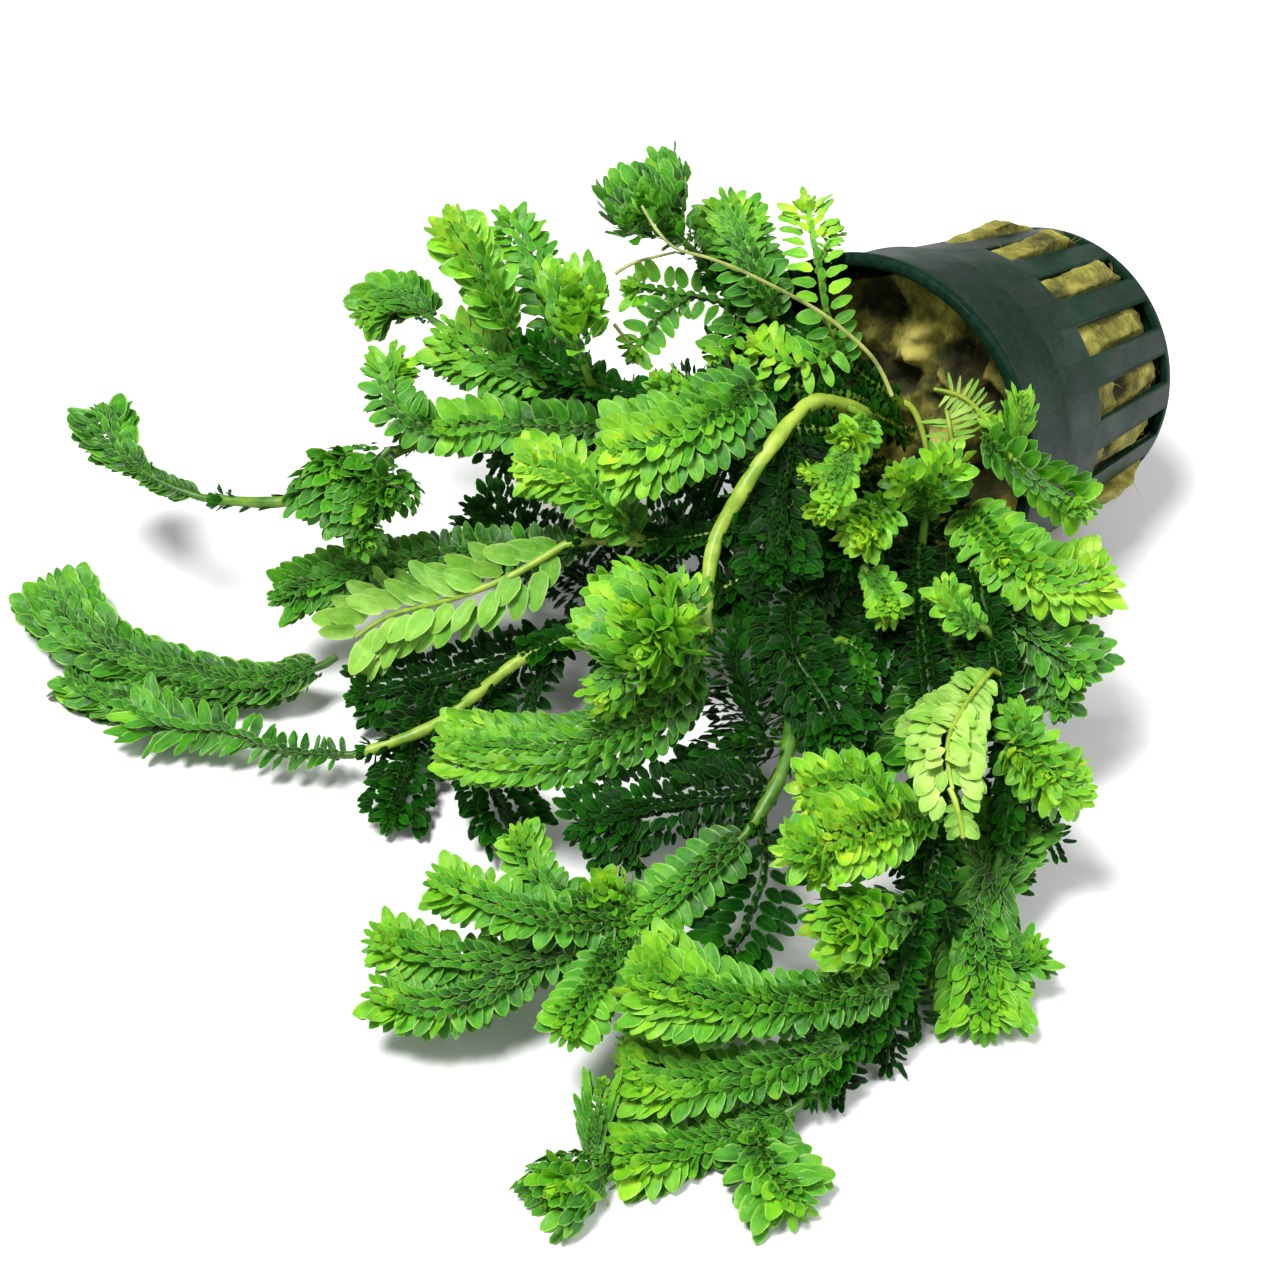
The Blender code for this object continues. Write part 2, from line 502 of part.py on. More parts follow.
class Branch:
    """One centre line with its stations: where it runs, how wide and how deep it is."""

    def __init__(self, name, owner, route, width, thick, form, lean, turn, role, parent):
        self.name, self.owner, self.role, self.parent = name, owner, role, parent
        self.form, self.lean, self.turn = form, lean, math.radians(turn)
        self.starts = [np.array(seen(across, down, height * MM)) for across, down, height in route]
        if role == "stem":
            across, down, _ = route[0]
            self.starts[0] = np.array(on_wool(across, down, thick * MM * 0.6 + GAP))
        places, length = self.spread_stations(STEM_SPACING if form is None else STATION_SPACING)
        self.places = places
        half_width, half_depth = width * MM / 2, thick * MM / 2
        shares = np.linspace(0, 1, len(places))
        if form is None:
            self.half_widths = half_width * (1 - 0.35 * shares)
            self.half_depths = self.half_widths
        else:
            swell = np.array([at_share(form, share) for share in shares])
            self.half_widths = np.maximum(half_width * swell, 0.6 * MM)
            self.half_depths = np.maximum(half_depth * np.sqrt(swell) * 0.95, 0.5 * MM)
        self.length = length

    def spread_stations(self, spacing):
        """Places along the curve at even steps."""
        count = len(self.starts)
        fine = np.linspace(0, count - 1, 40 * (count - 1) + 1)
        points = np.array([self.point_at(place, self.starts) for place in fine])
        along = np.concatenate(([0], np.cumsum(np.linalg.norm(np.diff(points, axis=0), axis=1))))
        steps = max(4, round(along[-1] / spacing))
        return np.interp(np.linspace(0, along[-1], steps + 1), along, fine), along[-1]

    def point_at(self, place, controls):
        """The curve's point at a place, for the given control points."""
        nodes, weights, _ = curve_weights(place, len(controls))
        return sum(weight * controls[node] for node, weight in zip(nodes, weights))

    def direction_at(self, place, controls):
        """The curve's direction at a place."""
        nodes, _, slopes = curve_weights(place, len(controls))
        slope = sum(weight * controls[node] for node, weight in zip(nodes, slopes))
        return slope / np.linalg.norm(slope)

    def nearest_place(self, spot):
        """The place whose point is seen closest to a spot."""
        eye = np.array(EYE)
        line = (spot - eye) / np.linalg.norm(spot - eye)
        best, best_miss = 0, 1e9
        for place in np.linspace(0, len(self.starts) - 1, 20 * (len(self.starts) - 1) + 1):
            away = self.point_at(place, self.starts) - eye
            miss = np.linalg.norm(away / np.linalg.norm(away) - line)
            if miss < best_miss:
                best, best_miss = place, miss
        return best


def all_branches():
    """Every centre line of the plant: stems, roots, shoots and their forks."""
    branches = []
    by_name = {}
    for stem in STEMS + ROOTS:
        role = "stem" if stem in STEMS else "root"
        made = Branch(stem.name, stem.name, stem.route, stem.thick, stem.thick, None, 0, 0, role, None)
        branches.append(made)
        by_name[stem.name] = made
    for item in SHOOTS:
        made = Branch(item.name, item.name, item.route, item.width, item.thick, item.form,
                      item.lean, item.turn, "shoot", by_name[item.stem])
        branches.append(made)
        by_name[item.name] = made
        for number, side in enumerate(item.forks, 1):
            branches.append(Branch(f"{item.name}_fork_{number}", item.name, side.route, side.width,
                                   side.thick, side.form, item.lean, item.turn, "fork", made))
    for branch in branches:
        if branch.parent is not None:
            branch.joins_at = branch.parent.nearest_place(branch.starts[0])
    return branches


class Settling:
    """Moves the branches along the sight lines until they lie beside each other."""

    def __init__(self, branches):
        self.branches = branches
        self.eye = np.array(EYE)
        self.first = np.cumsum([0] + [len(b.starts) for b in branches])[:-1]
        self.controls = np.concatenate([b.starts for b in branches])
        away = self.controls - self.eye
        self.depth = np.linalg.norm(away, axis=1)
        self.line = away / self.depth[:, None]
        self.start_depth = self.depth.copy()
        self.owner = np.array([self.owner_number(b) for b in branches])
        self.make_stations()
        self.make_samples()
        self.anchor()
        self.order = self.picture_order()

    def owner_number(self, branch):
        """One number for all branches of a piece."""
        names = sorted({b.owner for b in self.branches})
        return names.index(branch.owner)

    def make_stations(self):
        nodes, weights, slopes, numbers = [], [], [], []
        self.station_first = []
        for number, (branch, first) in enumerate(zip(self.branches, self.first)):
            self.station_first.append(len(nodes))
            for place in branch.places:
                near, weight, slope = curve_weights(place, len(branch.starts))
                nodes.append([first + node for node in near])
                weights.append(weight)
                slopes.append(slope)
                numbers.append(number)
        self.nodes, self.weights = np.array(nodes), np.array(weights)
        self.slopes, self.branch_of = np.array(slopes), np.array(numbers)
        self.half_width = np.concatenate([b.half_widths for b in self.branches])
        self.half_depth = np.concatenate([b.half_depths for b in self.branches])
        self.lean = np.array([self.branches[n].lean for n in numbers])
        self.lift = np.array([STEM_LIFT if self.branches[n].form is None else GAP / 6 for n in numbers])
        self.turn = np.array([self.branches[n].turn for n in numbers])

    def make_samples(self):
        """Small balls that fill each branch, by which it feels the others."""
        stations, offsets, radii, shifts = [], [], [], []
        for station, (width, depth) in enumerate(zip(self.half_width, self.half_depth)):
            branch = self.branches[self.branch_of[station]]
            is_last = station + 1 == len(self.half_width) or (
                self.branch_of[station + 1] != self.branch_of[station])
            spacing = STEM_SPACING if branch.form is None else STATION_SPACING
            steps = 1 if is_last else math.ceil(spacing / SAMPLE_SPACING)
            sides = 0 if width < 1.3 * depth else math.ceil((width - depth / 2) / SAMPLE_SPACING)
            for across in range(-sides, sides + 1):
                offset = across * (width - depth / 2) / sides if sides else 0
                radius = depth if sides == 0 else max(depth * (1 - abs(offset) / width), 0.35 * MM)
                if branch.form in ROUND_FORMS:
                    radius = depth * math.sqrt(max(1 - (offset / width) ** 2, 0.05))
                for step in range(steps):
                    stations.append(station)
                    offsets.append(offset)
                    radii.append(radius + 0.6 * GAP)
                    shifts.append(step / steps)
        self.sample_station = np.array(stations)
        self.offset = np.array(offsets)
        self.shift = np.array(shifts)
        self.still, still_radius = pot_samples()
        self.radius = np.concatenate((radii, still_radius))
        self.branch = np.concatenate((self.branch_of[stations], np.full(len(still_radius), -1)))
        self.piece = np.where(self.branch < 0, -1, self.owner[self.branch])
        self.hosts = np.array([self.branches.index(b.parent) if b.parent else -2
                               for b in self.branches])

    def anchor(self):
        """Puts each shoot's first point beside its stem, and each fork's inside its shoot."""
        for number, branch in enumerate(self.branches):
            if branch.parent is None:
                first = self.first[number]
                self.depth[first] = self.start_depth[first]
        self.controls = self.eye + self.line * self.depth[:, None]
        for number, branch in enumerate(self.branches):
            if branch.parent is None:
                continue
            host = self.branches.index(branch.parent)
            first, host_first = self.first[number], self.first[host]
            host_controls = self.controls[host_first:host_first + len(branch.parent.starts)]
            point = branch.parent.point_at(branch.joins_at, host_controls)
            if branch.role == "shoot":
                way = branch.parent.direction_at(branch.joins_at, host_controls)
                share = branch.joins_at / (len(branch.parent.starts) - 1)
                if share > 0.97:
                    point = point + way * (GAP + 0.5 * branch.half_widths[0])
                else:
                    toward = self.controls[first + 1] - point
                    toward = toward - way * toward.dot(way)
                    toward /= np.linalg.norm(toward)
                    host_half = branch.parent.half_widths[0] * (1 - 0.35 * share)
                    point = point + toward * (host_half + 1.5 * GAP + branch.half_widths[0])
            away = point - self.eye
            self.depth[first] = np.linalg.norm(away)
            self.line[first] = away / self.depth[first]
            self.controls[first] = point

    def frames(self):
        """Centre, direction, side and face of every station."""
        near = self.controls[self.nodes]
        centre = (near * self.weights[:, :, None]).sum(axis=1)
        way = (near * self.slopes[:, :, None]).sum(axis=1)
        way /= np.linalg.norm(way, axis=1)[:, None]
        to_eye = self.eye - centre
        to_eye /= np.linalg.norm(to_eye, axis=1)[:, None]
        face = to_eye * (1 - self.lean[:, None]) + np.array((0, 0, 1)) * self.lean[:, None]
        face -= way * (face * way).sum(axis=1)[:, None]
        face /= np.linalg.norm(face, axis=1)[:, None]
        side = np.cross(way, face)
        cos, sin = np.cos(self.turn)[:, None], np.sin(self.turn)[:, None]
        return centre, way, side * cos + face * sin, face * cos - side * sin

    def sample_places(self):
        centre, _, side, _ = self.frames()
        here = self.sample_station
        there = np.minimum(here + 1, len(centre) - 1)
        mix = self.shift[:, None]
        middle = centre[here] * (1 - mix) + centre[there] * mix
        grown = middle + side[here] * self.offset[:, None]
        return np.concatenate((grown, self.still))

    def picture_order(self):
        """Which branch lies behind which, where they cross in the picture as first drawn."""
        places = self.sample_places() - self.eye
        depth = np.linalg.norm(places, axis=1)
        count = len(self.branches) + 1
        total = np.zeros((count, count))
        for one, two in close_pairs(places / depth[:, None], SAME_SIGHT):
            np.add.at(total, (self.branch[one], self.branch[two]), depth[two] - depth[one])
            np.add.at(total, (self.branch[two], self.branch[one]), depth[one] - depth[two])
        total[:, -1] = 1
        total[-1, :] = -1
        return np.sign(total)

    def near_pairs(self, places):
        """Pairs of samples of different pieces that are close to each other."""
        found = []
        for one, two in close_pairs(places, 2 * self.radius.max() + NEIGHBOUR_MARGIN):
            apart = np.linalg.norm(places[one] - places[two], axis=1)
            keep = apart < self.radius[one] + self.radius[two] + NEIGHBOUR_MARGIN
            keep &= self.piece[one] != self.piece[two]
            keep &= ~self.is_joint(one, two, places) & ~self.is_joint(two, one, places)
            found.append((one[keep], two[keep]))
        return (np.concatenate([one for one, _ in found]),
                np.concatenate([two for _, two in found]))

    def is_joint(self, one, two, places):
        """True where sample one is at the foot of a shoot and sample two is on its host."""
        child = self.branch[one]
        foot = self.controls[self.first[child]]
        close = np.linalg.norm(places[one] - foot, axis=1) < KIN_REACH
        return (child >= 0) & (self.hosts[child] == self.branch[two]) & close

    def push(self, amount_by_station):
        """Moves control points along their sight lines by their stations' pushes."""
        active = amount_by_station != 0
        share = np.abs(self.weights) * active[:, None]
        count = len(self.controls)
        total = np.bincount(self.nodes.ravel(), (share * amount_by_station[:, None]).ravel(), count)
        weight = np.bincount(self.nodes.ravel(), share.ravel(), count)
        self.depth += np.where(weight > 0.05, total / np.maximum(weight, 0.05), 0)

    def smooth(self):
        """Evens out how far neighbouring points of a branch have moved."""
        for branch, first in zip(self.branches, self.first):
            part = slice(first, first + len(branch.starts))
            moved = self.depth[part] - self.start_depth[part]
            even = moved.copy()
            even[1:-1] = (moved[:-2] + moved[2:]) / 2
            even[-1] = moved[-2]
            self.depth[part] = self.start_depth[part] + moved * 0.8 + even * 0.2

    def pushes(self, places, one, two):
        """How far each station has to move, away from the eye or towards it."""
        away = places - self.eye
        depth = np.linalg.norm(away, axis=1)
        line = away / depth[:, None]
        gap = places[two] - places[one]
        along = (gap * line[one]).sum(axis=1)
        aside = (gap ** 2).sum(axis=1) - along ** 2
        reach = (self.radius[one] + self.radius[two]) ** 2 - aside
        sign = self.order[self.branch[one], self.branch[two]]
        sign = np.where(sign == 0, np.sign(along + 1e-9), sign)
        need = np.where(reach > 0, np.sqrt(np.maximum(reach, 0)) - sign * along, 0)
        need = np.clip(need, 0, 2 * MM)
        share = np.where(self.branch[two] < 0, 1, 0.5)
        grown = len(self.sample_station)
        back = np.zeros(len(self.half_width))
        front = np.zeros(len(self.half_width))
        for sample, amount in ((one, -sign * need * share), (two, sign * need * share)):
            moves = sample < grown
            station = self.sample_station[sample[moves]]
            np.maximum.at(back, station, amount[moves])
            np.minimum.at(front, station, amount[moves])
        centre, _, side, face = self.frames()
        reach_down = np.maximum(np.abs(side[:, 2]) * self.half_width,
                                np.abs(face[:, 2]) * self.half_depth)
        sunk = np.maximum(reach_down + self.lift - centre[:, 2], 0)
        toward = (centre - self.eye)[:, 2] / np.linalg.norm(centre - self.eye, axis=1)
        front = np.minimum(front, sunk / toward)
        return back + front

    def run(self):
        for turn in range(SETTLE_ROUNDS):
            places = self.sample_places()
            if turn % NEIGHBOUR_ROUNDS == 0:
                one, two = self.near_pairs(places)
            self.push(0.7 * self.pushes(places, one, two))
            if turn < SETTLE_ROUNDS - LAST_ROUNDS:
                self.smooth()
            self.anchor()
        return self.frames()


def close_pairs(places, reach):
    """Index pairs of points closer than a reach, a block of rows at a time."""
    rows = 1000
    square = (places ** 2).sum(axis=1)
    for start in range(0, len(places), rows):
        part = slice(start, start + rows)
        apart = square[part, None] + square[None, :] - 2 * places[part] @ places.T
        one, two = np.nonzero(apart < reach ** 2)
        one += start
        keep = one < two
        yield one[keep], two[keep]


def pot_samples():
    """Balls along the pot's wall and the wool's top, which the plant lies in front of."""
    frame = pot_frame()
    places, radii = [], []
    for height in np.linspace(3 * MM, POT_HEIGHT - 0.9 * MM, 17):
        radius = POT_RIM_RADIUS - POT_WALL if height > POT_HEIGHT - POT_COLLAR_HEIGHT else (
            wall_radius(height))
        for angle in np.linspace(0, math.tau, 48, endpoint=False):
            spot = Vector((radius * math.cos(angle), radius * math.sin(angle), height))
            places.append(frame @ spot)
            radii.append(1.3 * MM)
    top = POT_HEIGHT - WOOL_DEPTH_BELOW_RIM - 1.4 * MM
    for radius in np.arange(0, POT_BASE_RADIUS, 3.2 * MM):
        for angle in np.linspace(0, math.tau, max(1, round(math.tau * radius / 3.2 / MM)), False):
            places.append(frame @ Vector((radius * math.cos(angle), radius * math.sin(angle), top)))
            radii.append(1.4 * MM)
    return np.array(places), np.array(radii)


def loft(name, centre, side, face, half_width, half_depth, form, where):
    """A closed leafy shoot: rings with teeth for its leaves, or lumps for its rosettes."""
    corners = 8 if form in ROUND_FORMS else 4
    bm = bmesh.new()
    rings = []
    for station in range(len(centre)):
        ring = []
        for corner in range(corners):
            angle = math.tau * corner / corners
            out, rise = math.cos(angle), math.sin(angle)
            if corners == 8:
                swell = 0.84 + 0.16 * ((station + corner) % 2)
            else:
                is_tooth = (station + (corner == 2)) % 2 == 0
                swell = 1 if is_tooth or corner in (1, 3) else 0.72
            spot = (centre[station] + side[station] * out * half_width[station] * swell
                    + face[station] * rise * half_depth[station] * swell)
            ring.append(bm.verts.new(spot))
        rings.append(ring)
    for lower, upper in zip(rings, rings[1:]):
        for i in range(corners):
            j = (i + 1) % corners
            bm.faces.new((lower[i], lower[j], upper[j], upper[i]))
    bm.faces.new(rings[-1])
    bm.faces.new(rings[0][::-1])
    bmesh.ops.recalc_face_normals(bm, faces=bm.faces)
    mesh = bpy.data.meshes.new(name)
    bm.to_mesh(mesh)
    bm.free()
    return new_object(name, mesh, where)


def tube(name, centre, half_width):
    """A stem or a root: a curve with a bevel and filled ends."""
    curve = bpy.data.curves.new(name, "CURVE")
    curve.dimensions = "3D"
    curve.bevel_depth = 1
    curve.bevel_resolution = 1
    curve.use_fill_caps = True
    spline = curve.splines.new("POLY")
    spline.points.add(len(centre) - 1)
    for point, place, radius in zip(spline.points, centre, half_width):
        point.co = (*place, 1)
        point.radius = radius
    return new_object(name, curve)


def grow_plant():
    """Settles the branches, then makes each stem, root and shoot."""
    branches = all_branches()
    settling = Settling(branches)
    centre, _, side, face = settling.run()
    stem_skin = material("stem", STEM_GREEN, 0.5)
    root_skin = material("aerial root", ROOT_TAN, 0.6)
    skins = {colour: material(f"leaf {number}", colour, 0.45)
             for number, colour in enumerate((LEAF_GREEN, TIP_GREEN, SHADE_GREEN, PALE_GREEN))}
    colours = {item.name: item.colour for item in SHOOTS}
    pieces = {}
    for number, branch in enumerate(branches):
        first = settling.station_first[number]
        part = slice(first, first + len(branch.places))
        if branch.form is None:
            piece = tube(branch.name, centre[part], branch.half_widths)
            piece.data.materials.append(stem_skin if branch.role == "stem" else root_skin)
            continue
        where = "cutters" if branch.role == "fork" else "spikemoss"
        piece = loft(branch.name, centre[part], side[part], face[part],
                     branch.half_widths, branch.half_depths, branch.form, where)
        piece.data.materials.append(skins[colours[branch.owner]])
        if branch.role == "fork":
            as_guide(piece)
            boolean(pieces[branch.owner], piece, "UNION", "MANIFOLD")
        else:
            pieces[branch.name] = piece


def build():
    for old in list(bpy.data.objects):
        bpy.data.objects.remove(old, do_unlink=True)
    frame = pot_frame()
    net_pot(frame)
    rockwool(frame)
    grow_plant()


build()
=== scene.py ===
"""Spikemoss in a slotted net pot, lying on its side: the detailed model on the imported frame."""
import json
import math

import bpy
import numpy as np
from mathutils import Matrix, Vector, noise
from mathutils.bvhtree import BVHTree


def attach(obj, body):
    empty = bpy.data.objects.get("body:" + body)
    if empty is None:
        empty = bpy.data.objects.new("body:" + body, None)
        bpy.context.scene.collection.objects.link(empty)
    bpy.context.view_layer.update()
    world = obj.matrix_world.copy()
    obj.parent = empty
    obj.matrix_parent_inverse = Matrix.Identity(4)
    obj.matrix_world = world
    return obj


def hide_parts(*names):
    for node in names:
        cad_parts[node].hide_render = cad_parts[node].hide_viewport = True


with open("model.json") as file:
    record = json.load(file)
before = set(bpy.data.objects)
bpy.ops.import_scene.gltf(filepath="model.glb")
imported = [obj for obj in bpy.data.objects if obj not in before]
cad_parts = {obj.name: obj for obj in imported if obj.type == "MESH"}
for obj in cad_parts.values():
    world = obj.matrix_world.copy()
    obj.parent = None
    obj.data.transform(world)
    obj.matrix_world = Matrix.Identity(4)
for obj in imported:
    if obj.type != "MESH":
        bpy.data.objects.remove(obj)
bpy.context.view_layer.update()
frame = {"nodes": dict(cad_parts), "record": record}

MM = 0.001

# The eye that sees the plant as the photograph does; routes below are points of its picture
EYE = Vector((0.0077, -0.2445, 0.2432))
EYE_DIP = math.radians(42)
EYE_FIELD = math.radians(30)
PICTURE = 1280
SENSOR = 36
SKY = 0.34

# Lamps: name, place, width, power
LAMPS = (("key", (-0.25, -0.2, 0.9), 0.34, 12), ("fill", (0.6, -0.1, 0.7), 0.5, 3))

# Where the numbers of the random draws start
WOOL_SEED = 5
STEM_SEED = 100
SHOOT_SEED = 200

# Net pot, in its own frame: base at Z = 0 and mouth up
POT_HEIGHT = 51 * MM
POT_RIM_RADIUS = 27.3 * MM
POT_COLLAR_RADIUS = 25.8 * MM
POT_COLLAR_HEIGHT = 13.5 * MM
POT_STEP = 0.7 * MM
POT_BASE_RADIUS = 22 * MM
POT_WALL = 1.0 * MM
POT_LIP_HEIGHT = 1.8 * MM
POT_SIDES = 144
POT_EDGE = 0.22 * MM
SLOT_COUNT = 16
SLOT_WIDTH = 4.4 * MM
SLOT_TOP = 26 * MM
SLOT_BOTTOM = 2.2 * MM
SLOT_INNER_RADIUS = 15 * MM
WOOL_TOP = POT_HEIGHT - 9 * MM

# Tufts and hollows of the wool: where they show in the picture, their reach and height.
# Their height also sets the wool's painted light and shade: tufts lighter, hollows darker.
WOOL_MARKS = (
    ((912, 342), 5.5 * MM, 2.2 * MM), ((962, 366), 4.5 * MM, -3.4 * MM),
    ((900, 380), 3.2 * MM, -2.4 * MM), ((985, 398), 3.5 * MM, -2.6 * MM),
    ((880, 300), 4.5 * MM, -2.4 * MM), ((1122, 384), 3.4 * MM, -1.8 * MM),
    ((1112, 442), 3.0 * MM, -1.6 * MM),
)
WOOL_GRAIN = 0.55 * MM
WOOL_TORN_DEPTH = 5 * MM
WOOL_TORN_RISE = 2.2 * MM
FIBRE_COUNT = 1000
FIBRE_STEPS = 6
FIBRE_LENGTHS = (1.5 * MM, 4.5 * MM)
FIBRE_RADII = (0.03 * MM, 0.055 * MM)

# How a line is followed over its solid: its steps in dots of the picture and in metres, how often
# its depths and places are eased, and how far past a skin the next look starts
SIGHT_STEP = 7
LINE_STEP = 0.5 * MM
DEPTH_EASING = 6
PLACE_EASING = 2
PAST_SKIN = 1e-5
MOST_CROSSINGS = 20

# Half width along a stem or a round shoot, as shares of its length and of its full half width
FORMS = {
    "stem": ((0, 0.35), (0.1, 0.85), (0.25, 1), (0.78, 1), (0.93, 0.8), (1, 0.35)),
    "club": ((0, 0.14), (0.3, 0.2), (0.45, 0.7), (0.65, 1), (0.85, 0.95), (1, 0.45)),
    "far_club": ((0, 0.14), (0.5, 0.16), (0.62, 0.75), (0.78, 1), (0.9, 0.95), (1, 0.45)),
    "bud": ((0, 0.25), (0.25, 0.75), (0.6, 1), (0.85, 0.85), (1, 0.4)),
}
ROUND_FORMS = ("club", "far_club", "bud")

# Half width of the shoots with rows of leaves; some are broader towards their tips
LEAFY_FORMS = {
    "leafy": ((0, 0.45), (0.1, 0.85), (0.25, 1), (0.8, 1.05), (0.93, 0.95), (1, 0.7)),
    "head": ((0, 0.4), (0.25, 0.8), (0.6, 1), (0.88, 1.0), (1, 0.65)),
    "comb": ((0, 0.75), (0.4, 1), (1, 0.7)),
    "bundle": ((0, 0.4), (0.4, 1), (1, 0.8)),
    "flag": ((0, 0.25), (0.35, 0.38), (0.6, 1.05), (0.75, 1.3), (0.88, 0.95), (1, 0.3)),
    "broad end": ((0, 0.5), (0.3, 0.75), (0.6, 0.92), (0.85, 1.2), (0.96, 1.2), (1, 0.9)),
    "broad head": ((0, 0.4), (0.2, 0.55), (0.52, 0.62), (0.7, 0.9), (0.9, 1.05), (1, 0.95)),
    "fan": ((0, 0.3), (0.25, 0.8), (0.6, 1), (0.85, 0.75), (1, 0.3)),
}
SHOOT_FORMS = {
    "far_flag": "flag", "long_sweep": "broad end", "lower_sweep": "broad end",
    "front_head": "broad head", "front_second": "broad head", "front_third": "broad head",
}

# Age of the leaves at a shoot's foot and at its tip: 0 is old and dark, 1 is young and yellow.
# Then their finish and slot. The shade tone's low ages and its dark finish are painted shade of the
# shoots deep in the plant, on their leaves and stems.
TONES = {
    "green": ((0.32, 0.72), "leaf", "leaf"),
    "plain": ((0.24, 0.44), "leaf", "leaf"),
    "bright": ((0.50, 0.90), "leaf", "leaf_tip"),
    "shade": ((0.10, 0.42), "shade leaf", "leaf_shade"),
    "pale": ((0.42, 0.62), "pale leaf", "leaf_pale"),
    "palest": ((0.62, 0.88), "pale leaf", "leaf_pale"),
}

# Centre lines as points (across, down) of the picture, and a thickness in mm
STEMS = (
    ("stem_upper", ((898, 404), (862, 376), (800, 335), (740, 296), (702, 262)), 1.9),
    ("stem_upper_left", ((884, 424), (850, 398), (760, 385), (660, 398), (585, 382),
        (520, 340)), 2),
    ("stem_long_left", ((874, 446), (830, 432), (720, 428), (600, 420), (493, 425), (407, 447),
        (330, 488), (281, 502), (215, 500)), 1.9),
    ("stem_thick_pale", ((908, 438), (860, 412), (812, 402), (768, 451), (738, 498), (716, 538),
        (707, 590), (706, 640)), 2.1),
    ("stem_left", ((888, 466), (850, 480), (760, 520), (680, 540), (610, 540), (575, 541)), 1.8),
    ("stem_lower_left", ((880, 488), (850, 510), (760, 570), (660, 615), (590, 632), (520, 660),
        (440, 722), (362, 753)), 1.8),
    ("stem_middle", ((907, 490), (868, 530), (822, 610), (797, 690), (786, 760), (768, 800),
        (752, 826)), 2.1),
    ("stem_front", ((930, 492), (918, 560), (925, 660), (937, 760), (932, 860), (912, 940),
        (892, 1000), (842, 1056), (806, 1100)), 2.1),
    ("stem_right", ((942, 464), (962, 530), (985, 610), (1003, 700), (1010, 780),
        (1003, 850)), 1.9),
)

